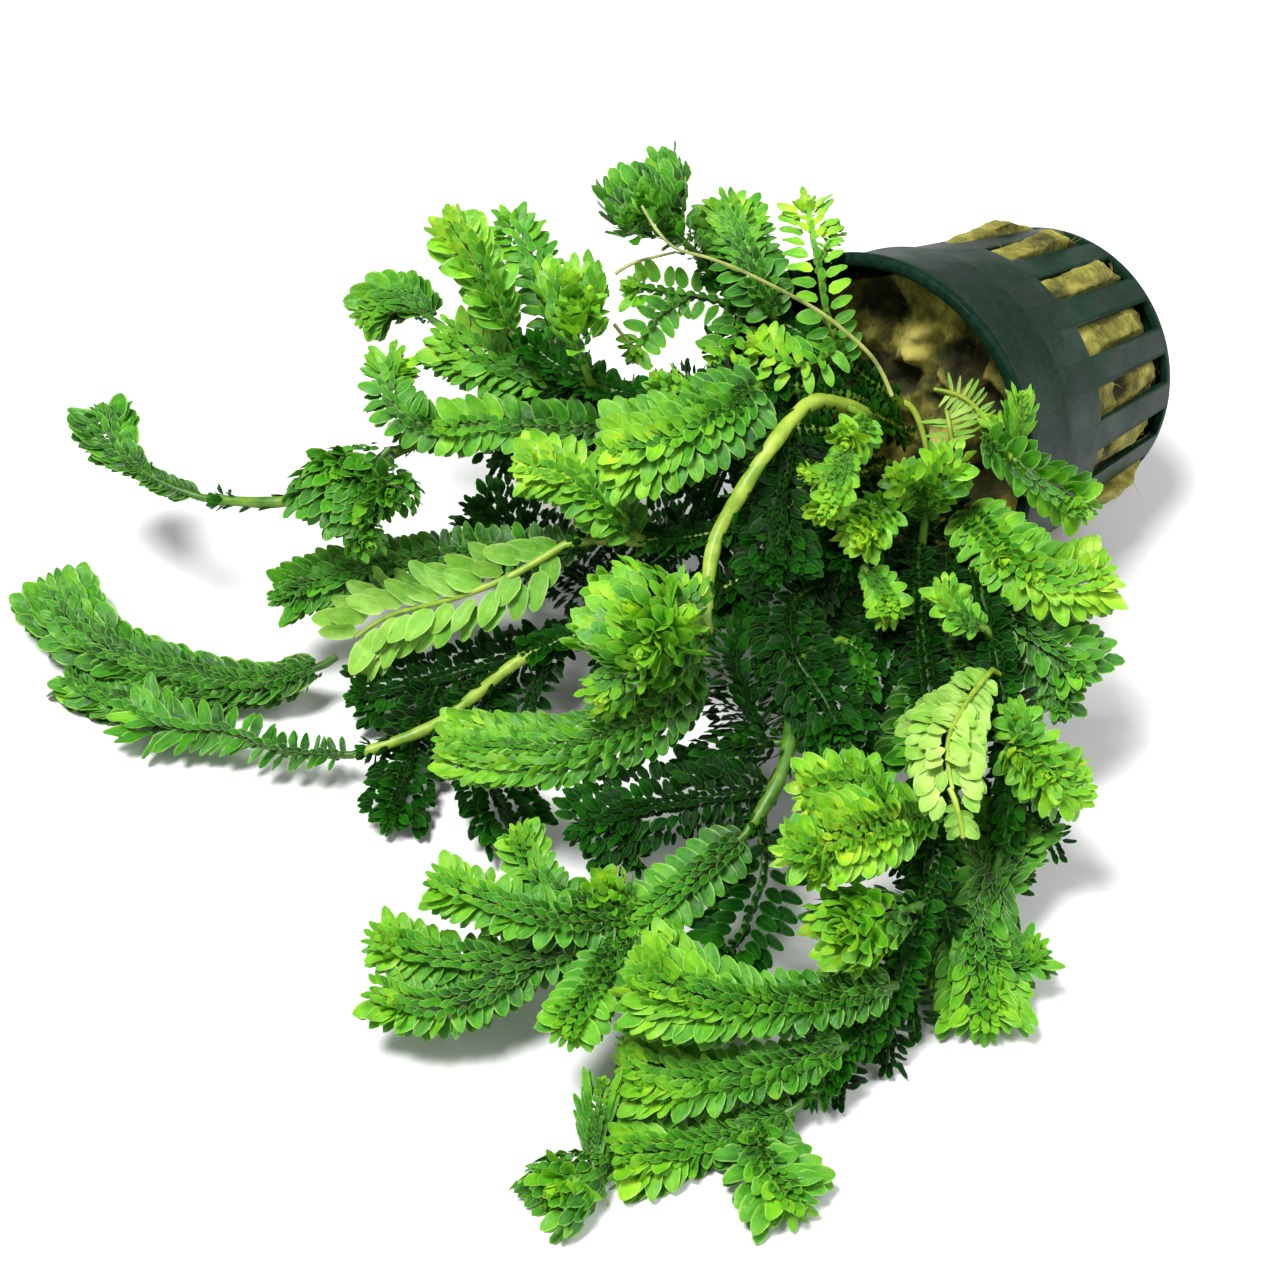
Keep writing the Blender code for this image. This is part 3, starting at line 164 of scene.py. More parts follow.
# Name, host, tone, lean, then the main line and its forks: route, width, thickness, and their
# form and tone where these aren't leafy and the shoot's own
SHOOTS = (
    ("top_club", "stem_upper", "plain", 0.1,
        (((698, 256), (675, 232), (650, 200), (632, 166)), 17, 9, "club")),
    ("top_branch", "stem_upper", "green", 0.3,
        (((760, 310), (715, 300), (665, 291), (615, 284)), 8, 2.4),
        (((690, 296), (655, 320), (625, 368)), 7, 2.2),
        (((742, 306), (735, 340), (706, 378)), 9, 2.2)),
    ("top_inner", "stem_upper", "green", 0.3,
        (((775, 318), (752, 270), (735, 230), (722, 196)), 11, 3),
        (((750, 265), (722, 250), (702, 222)), 6, 2.2)),
    ("top_slender", "stem_upper", "bright", 0.3,
        (((850, 366), (828, 318), (818, 262), (803, 192)), 8.5, 2.2),
        (((818, 262), (835, 236), (838, 222)), 3.5, 2.2),
        (((840, 345), (806, 366), (772, 358), (745, 332)), 9, 2.2)),
    ("round_club", "stem_upper_left", "green", 0.1,
        (((590, 382), (578, 345), (571, 300), (568, 262)), 12, 9, "club")),
    ("tall_braid", "stem_upper_left", "bright", 0.3,
        (((512, 334), (494, 298), (468, 252), (438, 214)), 9, 4.5)),
    ("arching", "stem_upper_left", "green", 0.3,
        (((560, 368), (552, 320), (535, 262), (498, 212)), 8.5, 2.4)),
    ("broad_fan", "stem_upper_left", "green", 0.3,
        (((618, 392), (560, 385), (495, 362), (440, 328)), 12, 3)),
    ("slender_lobes", "shoot_broad_fan", "green", 0.3,
        (((432, 320), (412, 300), (385, 298), (358, 328)), 7.5, 2.4)),
    ("curled", "stem_long_left", "green", 0.1,
        (((470, 430), (420, 425), (388, 395), (398, 348)), 8, 2.4)),
    ("wide_leafed", "stem_long_left", "green", 0.1,
        (((612, 425), (550, 428), (490, 424), (428, 430)), 8.5, 2.4)),
    ("middle_broad", "stem_upper_left", "green", 0.3,
        (((760, 385), (710, 420), (650, 445), (596, 455)), 14, 3),
        (((705, 420), (680, 395), (655, 372)), 6, 2.6, "bud")),
    ("left_ovate", "stem_left", "bright", 0.3,
        (((640, 538), (600, 500), (560, 470), (512, 462)), 10, 2.4)),
    ("under_shade", "stem_lower_left", "shade", 0.3,
        (((640, 620), (580, 575), (520, 535), (462, 502)), 13, 2.4),
        (((610, 596), (640, 550), (690, 520), (735, 500)), 12, 2.2)),
    ("lower_shade", "stem_lower_left", "shade", 0.3,
        (((580, 640), (510, 660), (430, 682), (345, 700)), 11, 2.4),
        (((440, 680), (414, 740), (402, 790), (385, 830)), 10.5, 2.2),
        (((500, 662), (478, 735), (500, 800), (524, 846)), 11.5, 2.2)),
    ("left_club", "stem_long_left", "plain", 0.1,
        (((388, 450), (368, 470), (338, 498), (318, 528)), 17, 9, "bud"),
        (((372, 470), (392, 485), (400, 515)), 9, 6, "bud"),
        (((355, 500), (362, 530), (372, 560)), 7, 5, "bud")),
    ("far_flag", "stem_long_left", "plain", 0.3,
        (((203, 498), (160, 482), (118, 450), (96, 404)), 7.5, 2)),
    ("left_dark", "stem_left", "plain", 0.3,
        (((590, 548), (460, 555), (350, 572), (270, 600)), 9, 2.4)),
    ("pale_underside", "stem_left", "pale", 0.15,
        (((565, 545), (510, 577), (450, 600), (385, 618), (335, 655)), 12.5, 2)),
    ("long_sweep", "shoot_pale_underside", "plain", 0.55,
        (((326, 664), (265, 684), (180, 676), (98, 646), (62, 608), (50, 582)), 10, 4.5),
        (((255, 684), (190, 706), (110, 700), (60, 675)), 6, 2.2)),
    ("lower_sweep", "stem_lower_left", "plain", 0.6,
        (((352, 755), (284, 752), (228, 732), (170, 728), (118, 706)), 10, 2.2)),
    ("ridged_finger", "stem_thick_pale", "green", 0.3,
        (((700, 652), (655, 715), (575, 748), (500, 750), (438, 742)), 9.5, 5.5)),
    ("big_club", "stem_thick_pale", "green", 0.1,
        (((700, 622), (672, 640), (640, 622), (600, 596)), 18, 10, "bud"),
        (((668, 630), (682, 605), (690, 580)), 8, 6, "bud"),
        (((655, 640), (620, 685), (580, 702)), 8, 5, "bud")),
    ("hanging_dark", "stem_middle", "shade", 0.3,
        (((776, 790), (700, 800), (630, 812), (565, 838)), 12, 2.6),
        (((640, 810), (625, 845), (640, 872)), 7, 2.2)),
    ("leafy_end", "stem_middle", "green", 0.5,
        (((746, 834), (700, 874), (650, 912), (600, 938)), 9, 2.6),
        (((640, 918), (560, 922), (490, 902), (425, 876)), 8, 3),
        (((640, 918), (570, 905), (532, 870), (517, 822)), 6.5, 3),
        (((630, 925), (612, 895), (602, 872)), 7.5, 4, "bud"),
        (((630, 928), (594, 985), (560, 1042)), 8, 2.4)),
    ("twin_tips", "shoot_leafy_end", "green", 0.5,
        (((590, 946), (520, 962), (440, 958), (364, 936)), 8, 3.2),
        (((540, 958), (490, 992), (430, 1008), (366, 990)), 8, 3)),
    ("shaded_buds", "stem_middle", "shade", 0.3,
        (((790, 742), (755, 745), (720, 758), (684, 770)), 9, 5, "bud"),
        (((765, 745), (745, 700), (735, 650), (752, 600)), 13, 2.2)),
    ("low_shade", "stem_middle", "shade", 0.7,
        (((760, 822), (765, 870), (745, 925), (720, 970)), 12, 2.2)),
    ("front_head", "stem_front", "green", 0.5,
        (((896, 985), (830, 1000), (750, 1004), (690, 994), (626, 970)), 14.5, 5)),
    ("front_second", "stem_front", "green", 0.5,
        (((846, 1046), (780, 1068), (700, 1080), (614, 1066)), 13.5, 4)),
    ("front_third", "stem_front", "green", 0.6,
        (((796, 1108), (735, 1135), (670, 1152), (606, 1156)), 12, 4),
        (((690, 1150), (640, 1130), (590, 1168), (528, 1218)), 12, 7, "far_club", "plain"),
        (((592, 1172), (594, 1130), (606, 1072)), 4.4, 2.2, "bundle"),
        (((765, 1120), (760, 1155), (780, 1185), (806, 1216)), 12, 2.2)),
    ("bright_cluster", "stem_front", "bright", 0.1,
        (((940, 812), (895, 820), (850, 835), (815, 838)), 12, 4.5, "head"),
        (((895, 815), (850, 785), (795, 797)), 10, 4.5, "head"),
        (((885, 810), (868, 782), (838, 764)), 8, 3.6, "head"),
        (((850, 840), (810, 852), (778, 838)), 9, 3.8, "head")),
    ("bright_club", "stem_front", "green", 0.2,
        (((920, 905), (890, 915), (850, 930), (808, 945)), 12, 7, "bud")),
    ("pale_fan", "stem_right", "palest", 0,
        (((990, 672), (966, 702), (945, 748), (955, 815)), 10.5, 2, "fan"),
        (((968, 698), (930, 715), (908, 745)), 5, 1.8),
        (((955, 800), (962, 828), (963, 850)), 4, 1.8)),
    ("right_head", "stem_right", "bright", 0.3,
        (((1010, 740), (1035, 762), (1062, 785), (1088, 782)), 10, 4),
        (((1020, 748), (1018, 718), (1005, 700)), 7, 3)),
    ("right_dark", "stem_right", "plain", 0.3,
        (((985, 596), (1025, 630), (1066, 660), (1088, 690)), 13, 3),
        (((1056, 655), (1058, 695), (1060, 725)), 8, 2.2),
        (((992, 602), (960, 650), (940, 715), (920, 785)), 14, 2.2, "leafy", "shade")),
    ("right_long", "stem_right", "green", 0.5,
        (((998, 862), (978, 915), (982, 975), (985, 1038)), 12, 3),
        (((983, 954), (1015, 962), (1050, 942)), 7, 2.2),
        (((976, 920), (945, 960), (940, 1005)), 6, 2.2),
        (((985, 900), (1012, 850), (1034, 812)), 9, 2.2),
        (((988, 880), (969, 845), (966, 800)), 11.2, 2.2)),
    ("rim_bright", "stem_right", "bright", 0.1,
        (((966, 512), (1000, 548), (1055, 582), (1112, 570)), 11, 3.4)),
    ("rim_twin", "stem_front", "bright", 0,
        (((925, 520), (925, 500), (945, 475), (950, 448)), 8.5, 3.6, "head"),
        (((925, 500), (902, 482), (895, 458)), 7, 3.4, "head")),
    ("rim_edge", "stem_right", "green", 0.1,
        (((985, 436), (1004, 452), (1045, 482), (1096, 516)), 8, 3),
        (((1012, 452), (1018, 422), (1023, 388)), 3.6, 2, "bundle", "palest"),
        (((1010, 458), (1000, 438), (986, 412)), 3.4, 2, "bundle", "palest")),
    ("mouth_comb", "stem_upper", "palest", 0.2,
        (((986, 424), (974, 405), (956, 394), (926, 388)), 6.4, 2, "comb"),
        (((952, 444), (949, 422), (944, 400)), 8.2, 2, "comb")),
    ("small_rosette", "stem_front", "bright", 0.1,
        (((862, 566), (876, 580), (888, 596), (886, 626)), 6.4, 3, "head")),
    ("ovate_rosette", "stem_right", "bright", 0.1,
        (((985, 628), (968, 622), (950, 605), (945, 580)), 7, 3, "head")),
    ("mouth_scales", "stem_middle", "bright", 0.1,
        (((882, 508), (885, 505), (868, 525), (848, 548)), 8, 3.6)),
    ("centre_hanging", "stem_middle", "shade", 0.1,
        (((832, 580), (795, 600), (792, 650), (825, 700), (848, 752)), 11, 2.6),
        (((840, 640), (862, 650), (864, 676), (856, 700)), 5.5, 2.4, "head", "bright")),
    ("centre_shade", "stem_front", "shade", 0.3,
        (((922, 600), (880, 640), (850, 700), (832, 770)), 15, 2.4)),
    ("centre_upper", "stem_thick_pale", "shade", 0.3,
        (((790, 425), (785, 480), (778, 530), (775, 590)), 12, 2.4),
        (((788, 450), (826, 500), (848, 575)), 10, 2.2)),
    ("bright_fan", "stem_thick_pale", "bright", 0.1,
        (((866, 416), (864, 434), (850, 442), (832, 448)), 7.5, 2.6, "head"),
        (((850, 440), (825, 478), (800, 472)), 4, 2.4, "head"),
        (((850, 445), (838, 490), (820, 520)), 5.5, 3, "head")),
)

# Degrees that a shoot's upper side is turned about its line
SHOOT_TURNS = {"rim_edge": 30}

# Rosettes that show in the picture, by shoot: across, down, radius in mm
ROSETTES = {
    "top_club": ((645, 186, 4.6), (672, 222, 3.4), (628, 214, 3.2)),
    "round_club": ((570, 276, 4.8), (574, 312, 4.6), (590, 292, 3)),
    "left_club": ((334, 474, 4.4), (392, 494, 3.2), (370, 546, 2.8)),
    "big_club": ((580, 618, 4.2), (628, 608, 5.4), (688, 614, 4.8),
        (640, 655, 4.2), (600, 700, 3), (600, 585, 3.2)),
    "bright_cluster": ((812, 872, 2.6),), "bright_club": ((838, 932, 5), (862, 908, 3.4)),
    "bright_fan": ((845, 446, 2.8), (798, 470, 2), (820, 518, 2.6)),
    "shaded_buds": ((684, 770, 3.2), (735, 740, 2.8)),
    "front_head": ((640, 968, 3.8), (660, 938, 3), (676, 992, 2.8)),
    "front_second": ((628, 1050, 3.2), (630, 1086, 3)),
    "front_third": ((630, 1148, 3), (552, 1192, 3.6)),
    "right_long": ((1008, 984, 3.4), (1000, 1012, 2.6)),
    "right_head": ((1046, 776, 3.4), (1074, 772, 2.6), (1020, 762, 2.6)),
    "rim_bright": ((1008, 562, 2.6), (1040, 582, 2.6)),
    "leafy_end": ((518, 838, 2.8), (602, 882, 3.2), (500, 910, 2.6), (440, 884, 2.8)),
    "twin_tips": ((384, 940, 2.8), (390, 1000, 2.8)),
    "middle_broad": ((656, 376, 2.8), (620, 452, 3)), "mouth_scales": ((858, 536, 2.6),),
    "left_ovate": ((522, 464, 2.6),), "broad_fan": ((452, 336, 3),),
    "slender_lobes": ((362, 322, 2),), "curled": ((400, 362, 2.4),),
    "centre_hanging": ((842, 740, 2.6),), "rim_edge": ((1078, 506, 2.4),),
}

# How the leaves of a shoot stand: their length against the usual one, pitch as a share of leaf
# length, width as a share of it, the angle from the shoot at the foot and at the tip, the rows
# along its middle, whether a second layer lies under the first, and how uneven they are
STYLE_PARTS = ("size", "pitch", "blade", "wide", "narrow", "rows", "under", "loose")
STYLE_VALUES = {
    "braid": (1, 0.52, 0.58, 74, 38, 2, True, 1),
    "open": (0.95, 0.64, 0.52, 76, 46, 1, False, 0.8),
    "beads": (1.1, 0.58, 0.62, 66, 45, 2, True, 1),
    "comb": (1.05, 0.22, 0.2, 82, 42, 0, False, 0.8),
    "frond": (1.05, 0.46, 0.6, 82, 34, 3, True, 0.7),
    "flat": (1.5, 0.6, 0.54, 46, 34, 0, False, 0.6),
    "fan": (0.95, 0.46, 0.58, 56, 22, 0, True, 0.8),
    "bundle": (1.1, 0.3, 0.24, 18, 10, 3, True, 0.6),
    "drape": (1, 0.36, 0.46, 44, 28, 3, True, 1.2),
    "smooth": (1.25, 0.4, 0.68, 38, 22, 3, True, 0.5),
    "hanging": (1.4, 0.5, 0.46, 72, 40, 1, False, 0.8),
    "large": (1.4, 0.52, 0.62, 56, 34, 2, True, 1),
    "pressed": (0.72, 0.52, 0.66, 40, 20, 3, True, 0.8),
    "tangle": (0.8, 0.46, 0.5, 78, 40, 2, True, 3),
}
STYLES = {name: dict(zip(STYLE_PARTS, values)) for name, values in STYLE_VALUES.items()}
SHOOT_STYLES = {
    "top_slender": "open", "wide_leafed": "beads", "rim_edge": "beads", "pale_underside": "flat",
    "pale_fan": "fan", "ridged_finger": "pressed", "lower_sweep": "hanging", "long_sweep": "smooth",
    "low_shade": "open", "far_flag": "smooth", "slender_lobes": "smooth", "top_branch": "open",
    "tall_braid": "large", "arching": "beads", "right_long": "drape", "small_rosette": "frond",
    "ovate_rosette": "frond", "rim_twin": "frond", "rim_bright": "frond", "mouth_scales": "frond",
    "bright_fan": "frond", "right_head": "frond", "front_head": "frond", "front_second": "frond",
    "front_third": "frond", "bright_cluster": "frond", "leafy_end": "frond", "twin_tips": "frond",
    "middle_broad": "frond", "broad_fan": "frond", "top_inner": "frond", "left_ovate": "frond",
}

# Leaves: the usual length, the least pitch of a row, how much closer they stand at a tip, how they
# overlap, and the least angle from the shoot
LEAF_LENGTH = 3.9 * MM
LEAST_PITCH = 0.75 * MM
TIP_CROWDING = 0.55
SHINGLE = math.radians(16)
SMALLEST_ANGLE = math.radians(10)

# How late along a shoot its leaves draw in and grow young: 1 is evenly
ANGLE_POWER = 2.6
AGE_POWER = 1.6
SMALL_AGE_POWER = 1.3

# Broad leaves: where a row starts, as a share of the line and at either hand, and the room that a
# leaf needs at least
ROW_START = 0.02
HAND_STARTS = {1: 0.4 * MM, -1: 1.4 * MM}
LEAST_REACH = 1.6 * MM

# Each further row inwards: its step in and up, its turn, lift in degrees, and how much younger it is
TIER_STEP = 2.2 * MM
TIER_RISE = 0.35 * MM
TIER_TURN = 0.82
TIER_LIFT = 10
TIER_YOUTH = 0.06

# Where a shoot's tip begins, and how its leaves rise (in degrees) and curl there
TIP_SHARE = 0.8
TIP_LIFT = 14
TIP_CURL = 0.5

# How leaves vary: angles in degrees, width against the usual one, curl (middle, spread) and hollow
ANGLE_SPREAD = 5
AGE_SPREAD = 0.05
SMALL_AGE_SPREAD = 0.06
BROAD_WIDTHS = (0.85, 1.12)
BROAD_CURL = (-0.15, 0.18)
BROAD_HOLLOW = (0.1, 0.4)

# Layers of broad leaves: their lift in degrees, length, late start, and how much darker they are; the
# under layers' darkening is painted shade under the leaves above
UPPER_LAYER = (8, 1.0, 0, 0)
UNDER_LAYER = (-14, 0.88, 0.03, 0.16)
STEM_UPPER_LAYER = (20, 1.0, 0, 0)
STEM_UNDER_LAYER = (-10, 0.9, 0.02, 0.08)
SPRIG_LAYER = (6, 1.0, 0, 0)

# Small leaves along the middle: side step between rows, a second row's later start, pitch against
# the broad leaves', how far the outer rows fan out and how the leaves rise, in degrees
MIDDLE_STEP = 0.34
MIDDLE_STAGGER = 0.9 * MM
MIDDLE_PITCH = 0.74
MIDDLE_FAN = 62
MIDDLE_RISE = (14, 30)
MIDDLE_FADE = (0.66, 0.9)
MIDDLE_LENGTHS = (0.42, 0.54)
MIDDLE_WIDTHS = (0.5, 0.62)
MIDDLE_LEAST = 1.4 * MM

# Small leaves round a thick shoot and on a round head: where the ranks stand, how far the leaves
# spread from foot to tip, in degrees, the spacing, and their length, width and hollow
THICK_SHOOT = 3.4
BODY_RANKS = (28, 62, 118, 152, 208, 242, 298, 332)
BODY_SPREAD = (44, 20)
BODY_LENGTHS = (0.66, 0.84)
BODY_WIDTHS = (0.54, 0.66)
CLUB_SPREAD = (44, 10)
CLUB_SPACING = 1.5 * MM
CLUB_CROWDING = 1.2
CLUB_LENGTHS = (1.8 * MM, 3.5 * MM)
CLUB_WIDTHS = (0.52, 0.64)
SMALL_HOLLOW = (-0.5, -0.1)

# Rosettes: how far the inner and the outer leaves open, in degrees, the greatest radius at a leafy
# tip, and how many leaves each kind has
ROSETTE_OPENING = (8, 58)
ROSETTE_YOUTH = 0.16
HEAD_RADIUS = 3.4 * MM
STEM_END_RADIUS = 2.4 * MM
HEAD_LEAVES = 20
CLUB_LEAVES = 22
STEM_END_LEAVES = 14

# Thin stems: radius in mm at a shoot's foot and tip, widest gap that is bridged, sides of a tube
TWIG_RADIUS = (0.62, 0.3)
PALEST_TWIG_RADIUS = (0.4, 0.3)
PALE_TWIG_AGE = 0.85
WIDEST_GAP = 8 * MM
TWIG_SIDES = 6
ROOT_SIDES = 8
STEM_SIDES = 12

# Stems: the stretch that carries leaves, as shares of the length, its half width in mm, the ages of
# the leaves, and the stem's own age. The leaves wear the shade finish: painted shade along the stems
# deep in the plant
STEM_LEAVES = {
    "stem_upper": (0.02, 1, 3.2, (0.4, 0.6), 0.5),
    "stem_upper_left": (0, 1, 3.4, (0.3, 0.5), 0.5),
    "stem_long_left": (0, 0.7, 3.0, (0.2, 0.5), 0.5),
    "stem_left": (0, 0.85, 3.2, (0.1, 0.4), 0.8),
    "stem_lower_left": (0, 0.72, 3.2, (0.1, 0.4), 0.75),
    "stem_thick_pale": (0, 0.26, 3.2, (0.3, 0.5), 0.86),
    "stem_middle": (0, 0.5, 3.2, (0.2, 0.4), 0.36),
    "stem_front": (0.04, 1, 3.8, (0.1, 0.5), 0.1),
    "stem_right": (0.04, 1, 3.4, (0.1, 0.5), 0.1),
}
STEM_REACH = 1.2 * MM

# Thin bare strands: the node whose depth they keep, route, radius in mm at foot and tip, finish.
# The first is that node itself; the others only show in the picture
STRANDS = (
    ("aerial_root_long", "aerial_root_long", ((892, 396), (874, 359), (830, 319), (794, 297),
        (740, 270), (700, 255), (676, 250), (655, 228), (642, 206)), (0.322, 0.196), "root"),
    ("root_side", "shoot_top_club", ((615, 274), (624, 266), (642, 260), (676, 252)),
        (0.275, 0.198), "root"),
    ("root_short", "shoot_top_branch", ((614, 324), (630, 344), (653, 367)), (0.3, 0.216), "root"),
    ("stem_mouth", "stem_upper", ((894, 402), (908, 402), (917, 415), (926, 445), (930, 470)),
        (0.55, 0.396), "stem"),
)
STRAND_SLOTS = {"root": "aerial_root", "stem": "stem"}
STRAND_AGE = 0.9

# A leaf's outline: shares of its length and of its half width
BLADE = ((0, 0), (0.12, 0.74), (0.34, 1.0), (0.58, 0.95), (0.80, 0.70), (0.94, 0.36), (1, 0))
SMALL_BLADE = ((0, 0), (0.22, 0.86), (0.52, 1.0), (0.84, 0.62), (1, 0))
BLADE_THICKNESS = 0.16 * MM

# How much a leaf's tip is younger than its foot, by the leaf's age: young ones are yellow inside, and
# older ones darker at the foot, which is painted shade where the leaves overlap.
# Then its uneven roll, yaw and curl, the waves of its rim, and the rib on a pale shoot
LEAF_FADES = ((0.3, 0.6, 0.8), (0.24, 0.0, -0.32))
FADE_CENTRE = 0.6
LEAF_ROLL = 0.16
LEAF_YAW = 0.09
LEAST_CURL = 1e-3
RIM_WAVES = 8
RUFFLE = 0.055
RIB_RISE = 0.5 * MM
SHARP_EDGE = math.radians(62)
GOLDEN_TURN = math.radians(137.508)
TABLE_GAP = 0.1 * MM

# Sprigs and pressed scales of the stems: places, lengths in mm and the droop of a sprig's tip
SPRIG_START = 12 * MM
SPRIG_END = 4 * MM
SPRIG_SPACING = 3.8 * MM
SPRIG_LENGTHS = (7, 13)
SPRIG_DROOP = 0.35
SPRIG_WIDTHS = (6, 9)
SCALE_SPACING = 3.6 * MM
SCALE_LENGTHS = (1.9, 2.9)


# Small helpers

def unit(vectors):
    """Vectors made one long."""
    return vectors / np.linalg.norm(vectors, axis=-1, keepdims=True).clip(1e-12)


def blend(start, end, share):
    """The value a share of the way from start to end."""
    return start + (end - start) * share


def tilted(first, second, angle):
    """Ways turned from the first towards the second, each by its angle."""
    return first * np.cos(angle)[..., None] + second * np.sin(angle)[..., None]


def select_only(*pieces):
    """Leaves just these pieces selected, the first one active."""
    if bpy.context.object and bpy.context.object.mode != "OBJECT":
        bpy.ops.object.mode_set(mode="OBJECT")
    bpy.ops.object.select_all(action="DESELECT")
    for piece in pieces:
        piece.select_set(True)
    if pieces:
        bpy.context.view_layer.objects.active = pieces[0]


def weld(reach):
    """Joins the active mesh's points within a reach, and turns its faces outwards."""
    bpy.ops.object.mode_set(mode="EDIT")
    bpy.ops.mesh.select_all(action="SELECT")
    bpy.ops.mesh.remove_doubles(threshold=reach)
    bpy.ops.mesh.normals_make_consistent(inside=False)
    bpy.ops.object.mode_set(mode="OBJECT")


def points_of(mesh):
    """Places of a mesh's points."""
    return np.array([vertex.co for vertex in mesh.vertices])


def faces_of(mesh):
    """The corners of each of a mesh's faces."""
    return [tuple(face.vertices) for face in mesh.polygons]


def added(name, data):
    """A new object in the scene."""
    piece = bpy.data.objects.new(name, data)
    bpy.context.scene.collection.objects.link(piece)
    return piece


def keep(piece, name, slot, *nodes):
    """Names a finished piece, puts it on the body and lets it stand for its nodes."""
    piece.name = name
    piece.data.name = name
    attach(piece, "root")
    if nodes:
        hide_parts(*nodes)


# Lines followed over the solids

def sight_line(across, down):
    """The direction from the eye through a point of the picture."""
    reach = PICTURE / 2 / math.tan(EYE_FIELD / 2)
    forward = Vector((0, math.cos(EYE_DIP), -math.sin(EYE_DIP)))
    up = Vector((0, math.sin(EYE_DIP), math.cos(EYE_DIP)))
    right = Vector((1, 0, 0))
    way = forward * reach + right * (across - PICTURE / 2) + up * (PICTURE / 2 - down)
    return way.normalized()


def solid_of(node):
    """A node's surface, ready for rays."""
    mesh = frame["nodes"][node].data
    return BVHTree.FromPolygons([vertex.co.copy() for vertex in mesh.vertices], faces_of(mesh))


def depths_inside(solid, line):
    """Distances from the eye to the middle of each stretch of a sight line inside a solid."""
    hits = []
    start = 0
    while len(hits) < MOST_CROSSINGS:
        place, _, _, distance = solid.ray_cast(EYE + line * start, line)
        if place is None:
            break
        hits.append(start + distance)
        start += distance + PAST_SKIN
    return [(enter + leave) / 2 for enter, leave in zip(hits[::2], hits[1::2])]


def smooth_route(route):
    """A curve through the points of a route, in steps of a few dots of the picture."""
    points = np.array(route, float)
    before = 2 * points[0] - points[1]
    after = 2 * points[-1] - points[-2]
    points = np.vstack([before, points, after])
    curve = []
    for a, b, c, d in zip(points, points[1:], points[2:], points[3:]):
        steps = max(int(np.linalg.norm(c - b) / SIGHT_STEP), 1)
        for share in np.arange(steps) / steps:
            curve.append(0.5 * (2 * b + (c - a) * share + (2 * a - 5 * b + 4 * c - d) * share ** 2
                                + (3 * b - a - 3 * c + d) * share ** 3))
    curve.append(points[-2])
    return np.array(curve)


def softened(values, rounds):
    """Values eased along their first axis, with both ends kept."""
    values = np.array(values, float)
    for _ in range(rounds):
        values[1:-1] = (values[:-2] + 2 * values[1:-1] + values[2:]) / 4
    return values


def follow(solid, route, near=None):
    """The points of a route, each at the depth where the solid lies behind it."""
    picture = smooth_route(route)
    lines = [sight_line(*point) for point in picture]
    depths = np.full(len(lines), np.nan)
    last = near
    for index, line in enumerate(lines):
        found = depths_inside(solid, line)
        if found:
            last = found[0] if last is None else min(found, key=lambda depth: abs(depth - last))
            depths[index] = last
    known = ~np.isnan(depths)
    if not known.any():
        beside = solid.find_nearest(EYE + lines[-1] * EYE.length)[0]
        depths[-1] = (beside - EYE).length
        known[-1] = True
    order = np.arange(len(depths))
    depths = softened(np.interp(order, order[known], depths[known]), DEPTH_EASING)
    places = np.array(EYE) + np.array(lines) * depths[:, None]
    return evenly(softened(places, PLACE_EASING), LINE_STEP)


def evenly(places, step):
    """The same line with its points an even step apart."""
    lengths = np.linalg.norm(np.diff(places, axis=0), axis=1)
    along = np.concatenate([[0], np.cumsum(lengths)])
    wanted = np.linspace(0, along[-1], max(int(along[-1] / step), 2) + 1)
    return np.stack([np.interp(wanted, along, places[:, axis]) for axis in range(3)], axis=1)


class Line:
    """A shoot's centre line, with its directions and half sizes at every point."""

    def __init__(self, places, width, thick, outline, lean=0.3, turn=0):
        self.place = places
        steps = np.linalg.norm(np.diff(places, axis=0), axis=1)
        self.along = np.concatenate([[0], np.cumsum(steps)])
        self.length = self.along[-1]
        self.way = unit(softened(np.gradient(places, axis=0), 4))
        face = unit(np.array(EYE) - places) * (1 - lean) + np.array((0, 0, lean))
        face = unit(face - self.way * (face * self.way).sum(1, keepdims=True))
        across = np.cross(self.way, face)
        angle = math.radians(turn)
        self.face = face * math.cos(angle) + across * math.sin(angle)
        self.side = np.cross(self.way, self.face)
        self.share = self.along / self.length
        shares, sizes = zip(*outline)
        full = np.interp(self.share, shares, sizes)
        self.half_width = full * width * MM / 2
        self.half_depth = full * thick * MM / 2

    def at(self, distances):
        """The line's values at distances from its foot."""
        found = Line.__new__(Line)
        for name in ("place", "way", "face", "side"):
            values = getattr(self, name)
            columns = [np.interp(distances, self.along, values[:, axis]) for axis in range(3)]
            setattr(found, name, np.stack(columns, axis=1))
        for name in ("share", "half_width", "half_depth"):
            setattr(found, name, np.interp(distances, self.along, getattr(self, name)))
        return found

    def gap(self, place):
        """The nearest of the line's points to a place, and how far it lies from it."""
        distances = np.linalg.norm(self.place - place, axis=1)
        nearest = distances.argmin()
        return nearest, distances[nearest]


# Leaves

# Which of a piece's finishes its leaves, or a bare strand, and its stems wear
FIRST = 0
SECOND = 1


